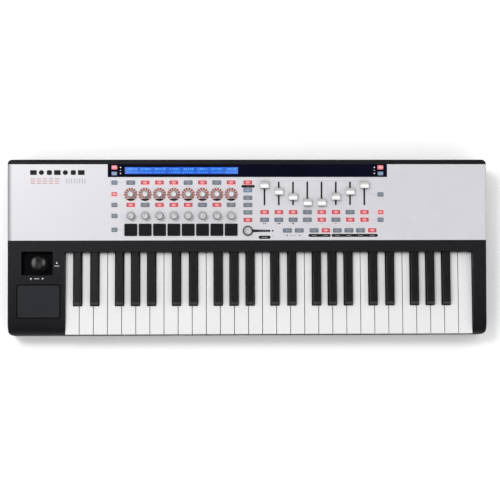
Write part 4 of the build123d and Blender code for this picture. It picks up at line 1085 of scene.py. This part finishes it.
def collar(piece, place, inner, outer, low, high):
    """A rounded ring round a socket."""
    lip = (outer - inner) * 0.3
    piece.lathe(place, [(inner, low), (outer, low), (outer, high - lip), (outer - lip, high),
                        (inner + lip, high), (inner, high - lip)], 0, 64, loop=True)


def build_sockets():
    """Metal rings, shells and contacts in the rear sockets, and a white dash above each."""
    piece = Piece("socket_metalwork", metal("socket_plating", (0.60, 0.60, 0.61), 0.28), INK_WHITE)
    labels = Piece("socket_marks", INK_WHITE)
    for mount in frame["record"]["mounts"]:
        if mount["name"] == "desk_rest":
            continue
        place = rear_place(mount)
        labels.block(shifted(place, 0, 12.5), 6.0, 0.7, INK_LOW, -INK_LOW, 0.2)
        if mount["name"].startswith("midi"):
            collar(piece, place, 6.6, 6.88, -11, -3.2)
            for angle in (-90, -45, 0, 45, 90):
                u, v = 3.75 * sin(radians(angle)), -3.75 * cos(radians(angle))
                collar(piece, shifted(place, u, v), 0.45, 0.78, -13, -11.45)
        elif mount["name"].startswith("pedal"):
            collar(piece, place, 2.85, 3.18, -20, -3.2)
        elif mount["name"] == "power_inlet":
            piece.lathe(place, [(0.98, -13), (0.98, -5), (0.6, -4.6), (CENTRE, -4.5)], 0, 32)
            collar(piece, place, 2.7, 3.08, -12, -3.2)
        elif mount["name"] == "data_socket":
            for side in (-1, 1):
                for width, length, x, y in ((8.5, 0.3, 0, 3.72), (0.3, 7.6, 4.12, 0)):
                    piece.block(shifted(place, side * x, side * y), width, length, -13, -3.1, 0.05)
    piece.finish(BODY)
    labels.finish(BODY)


# Stage --------------------------------

CAMERA_AT = (-0.0707, -0.2015, 2.5)
CAMERA_TURN = (4.626, -1.720, -0.249)
LENS_MM = 105.27
SENSOR_MM = 36
FLOOR_HALF = 6.0
KEY_LIGHT_AT = (-1.24, 0.80, 3.1)
KEY_LIGHT_SIZE = 0.9
KEY_LIGHT_WATTS = 44
SKY = 1.46
SKY_BANDS = [(0.0, 0.16), (0.34, 0.22), (0.60, 0.86), (0.935, 0.90), (0.972, 0.10), (1.0, 0.04)]


def build_sky():
    """Pale studio walls: bright at mid height, dim at the horizon and straight overhead."""
    world = bpy.context.scene.world or bpy.data.worlds.new("sky")
    bpy.context.scene.world = world
    world.use_nodes = True
    sky = Graph(world.node_tree)
    backdrop = sky.tree.nodes["Background"]
    height = sky.parts(sky.node("TexCoord").outputs["Generated"])[2]
    sky.put(backdrop.inputs["Color"], sky.ramp(height, SKY_BANDS))
    sky.put(backdrop.inputs["Strength"], SKY)


def build_stage():
    """A white floor with a soft key light from the rear left."""
    mesh = bpy.data.meshes.new("floor")
    corners = [(-1, -1), (1, -1), (1, 1), (-1, 1)]
    mesh.from_pydata([(x * FLOOR_HALF, y * FLOOR_HALF, 0) for x, y in corners], [], [(0, 1, 2, 3)])
    s = Shader("floor_white")
    s.set(Base_Color=s.ramp(s.noise(0.9, 2), [(0.3, 0.94), (0.7, 0.96)]),
          Roughness=0.9, Specular_IOR_Level=0.1)
    mesh.materials.append(s.material)
    add_object("floor", mesh)
    light = bpy.data.lights.new("key_light", "AREA")
    light.shape = "DISK"
    light.size = KEY_LIGHT_SIZE
    light.energy = KEY_LIGHT_WATTS
    lamp_object = add_object("key_light", light)
    lamp_object.location = KEY_LIGHT_AT
    lamp_object.rotation_euler = (-Vector(KEY_LIGHT_AT)).to_track_quat("-Z", "Y").to_euler()


def build_camera():
    """The camera, nearly straight above, a little in front and to the left."""
    data = bpy.data.cameras.new("camera")
    data.lens = LENS_MM
    data.sensor_width = SENSOR_MM
    camera = add_object("camera", data)
    camera.location = CAMERA_AT
    camera.rotation_euler = [radians(a) for a in CAMERA_TURN]
    bpy.context.scene.camera = camera
    bpy.context.scene.view_settings.view_transform = "Standard"


build_camera()
build_sky()
build_stage()
dress_cad()
build_buttons()
build_pads()
build_knobs()
build_light_rings()
build_printing()
build_display()
build_faders()
build_joystick()
build_well_painted_shade()
build_touchpad_shadow_band()
build_cheek_marks()
build_sockets()
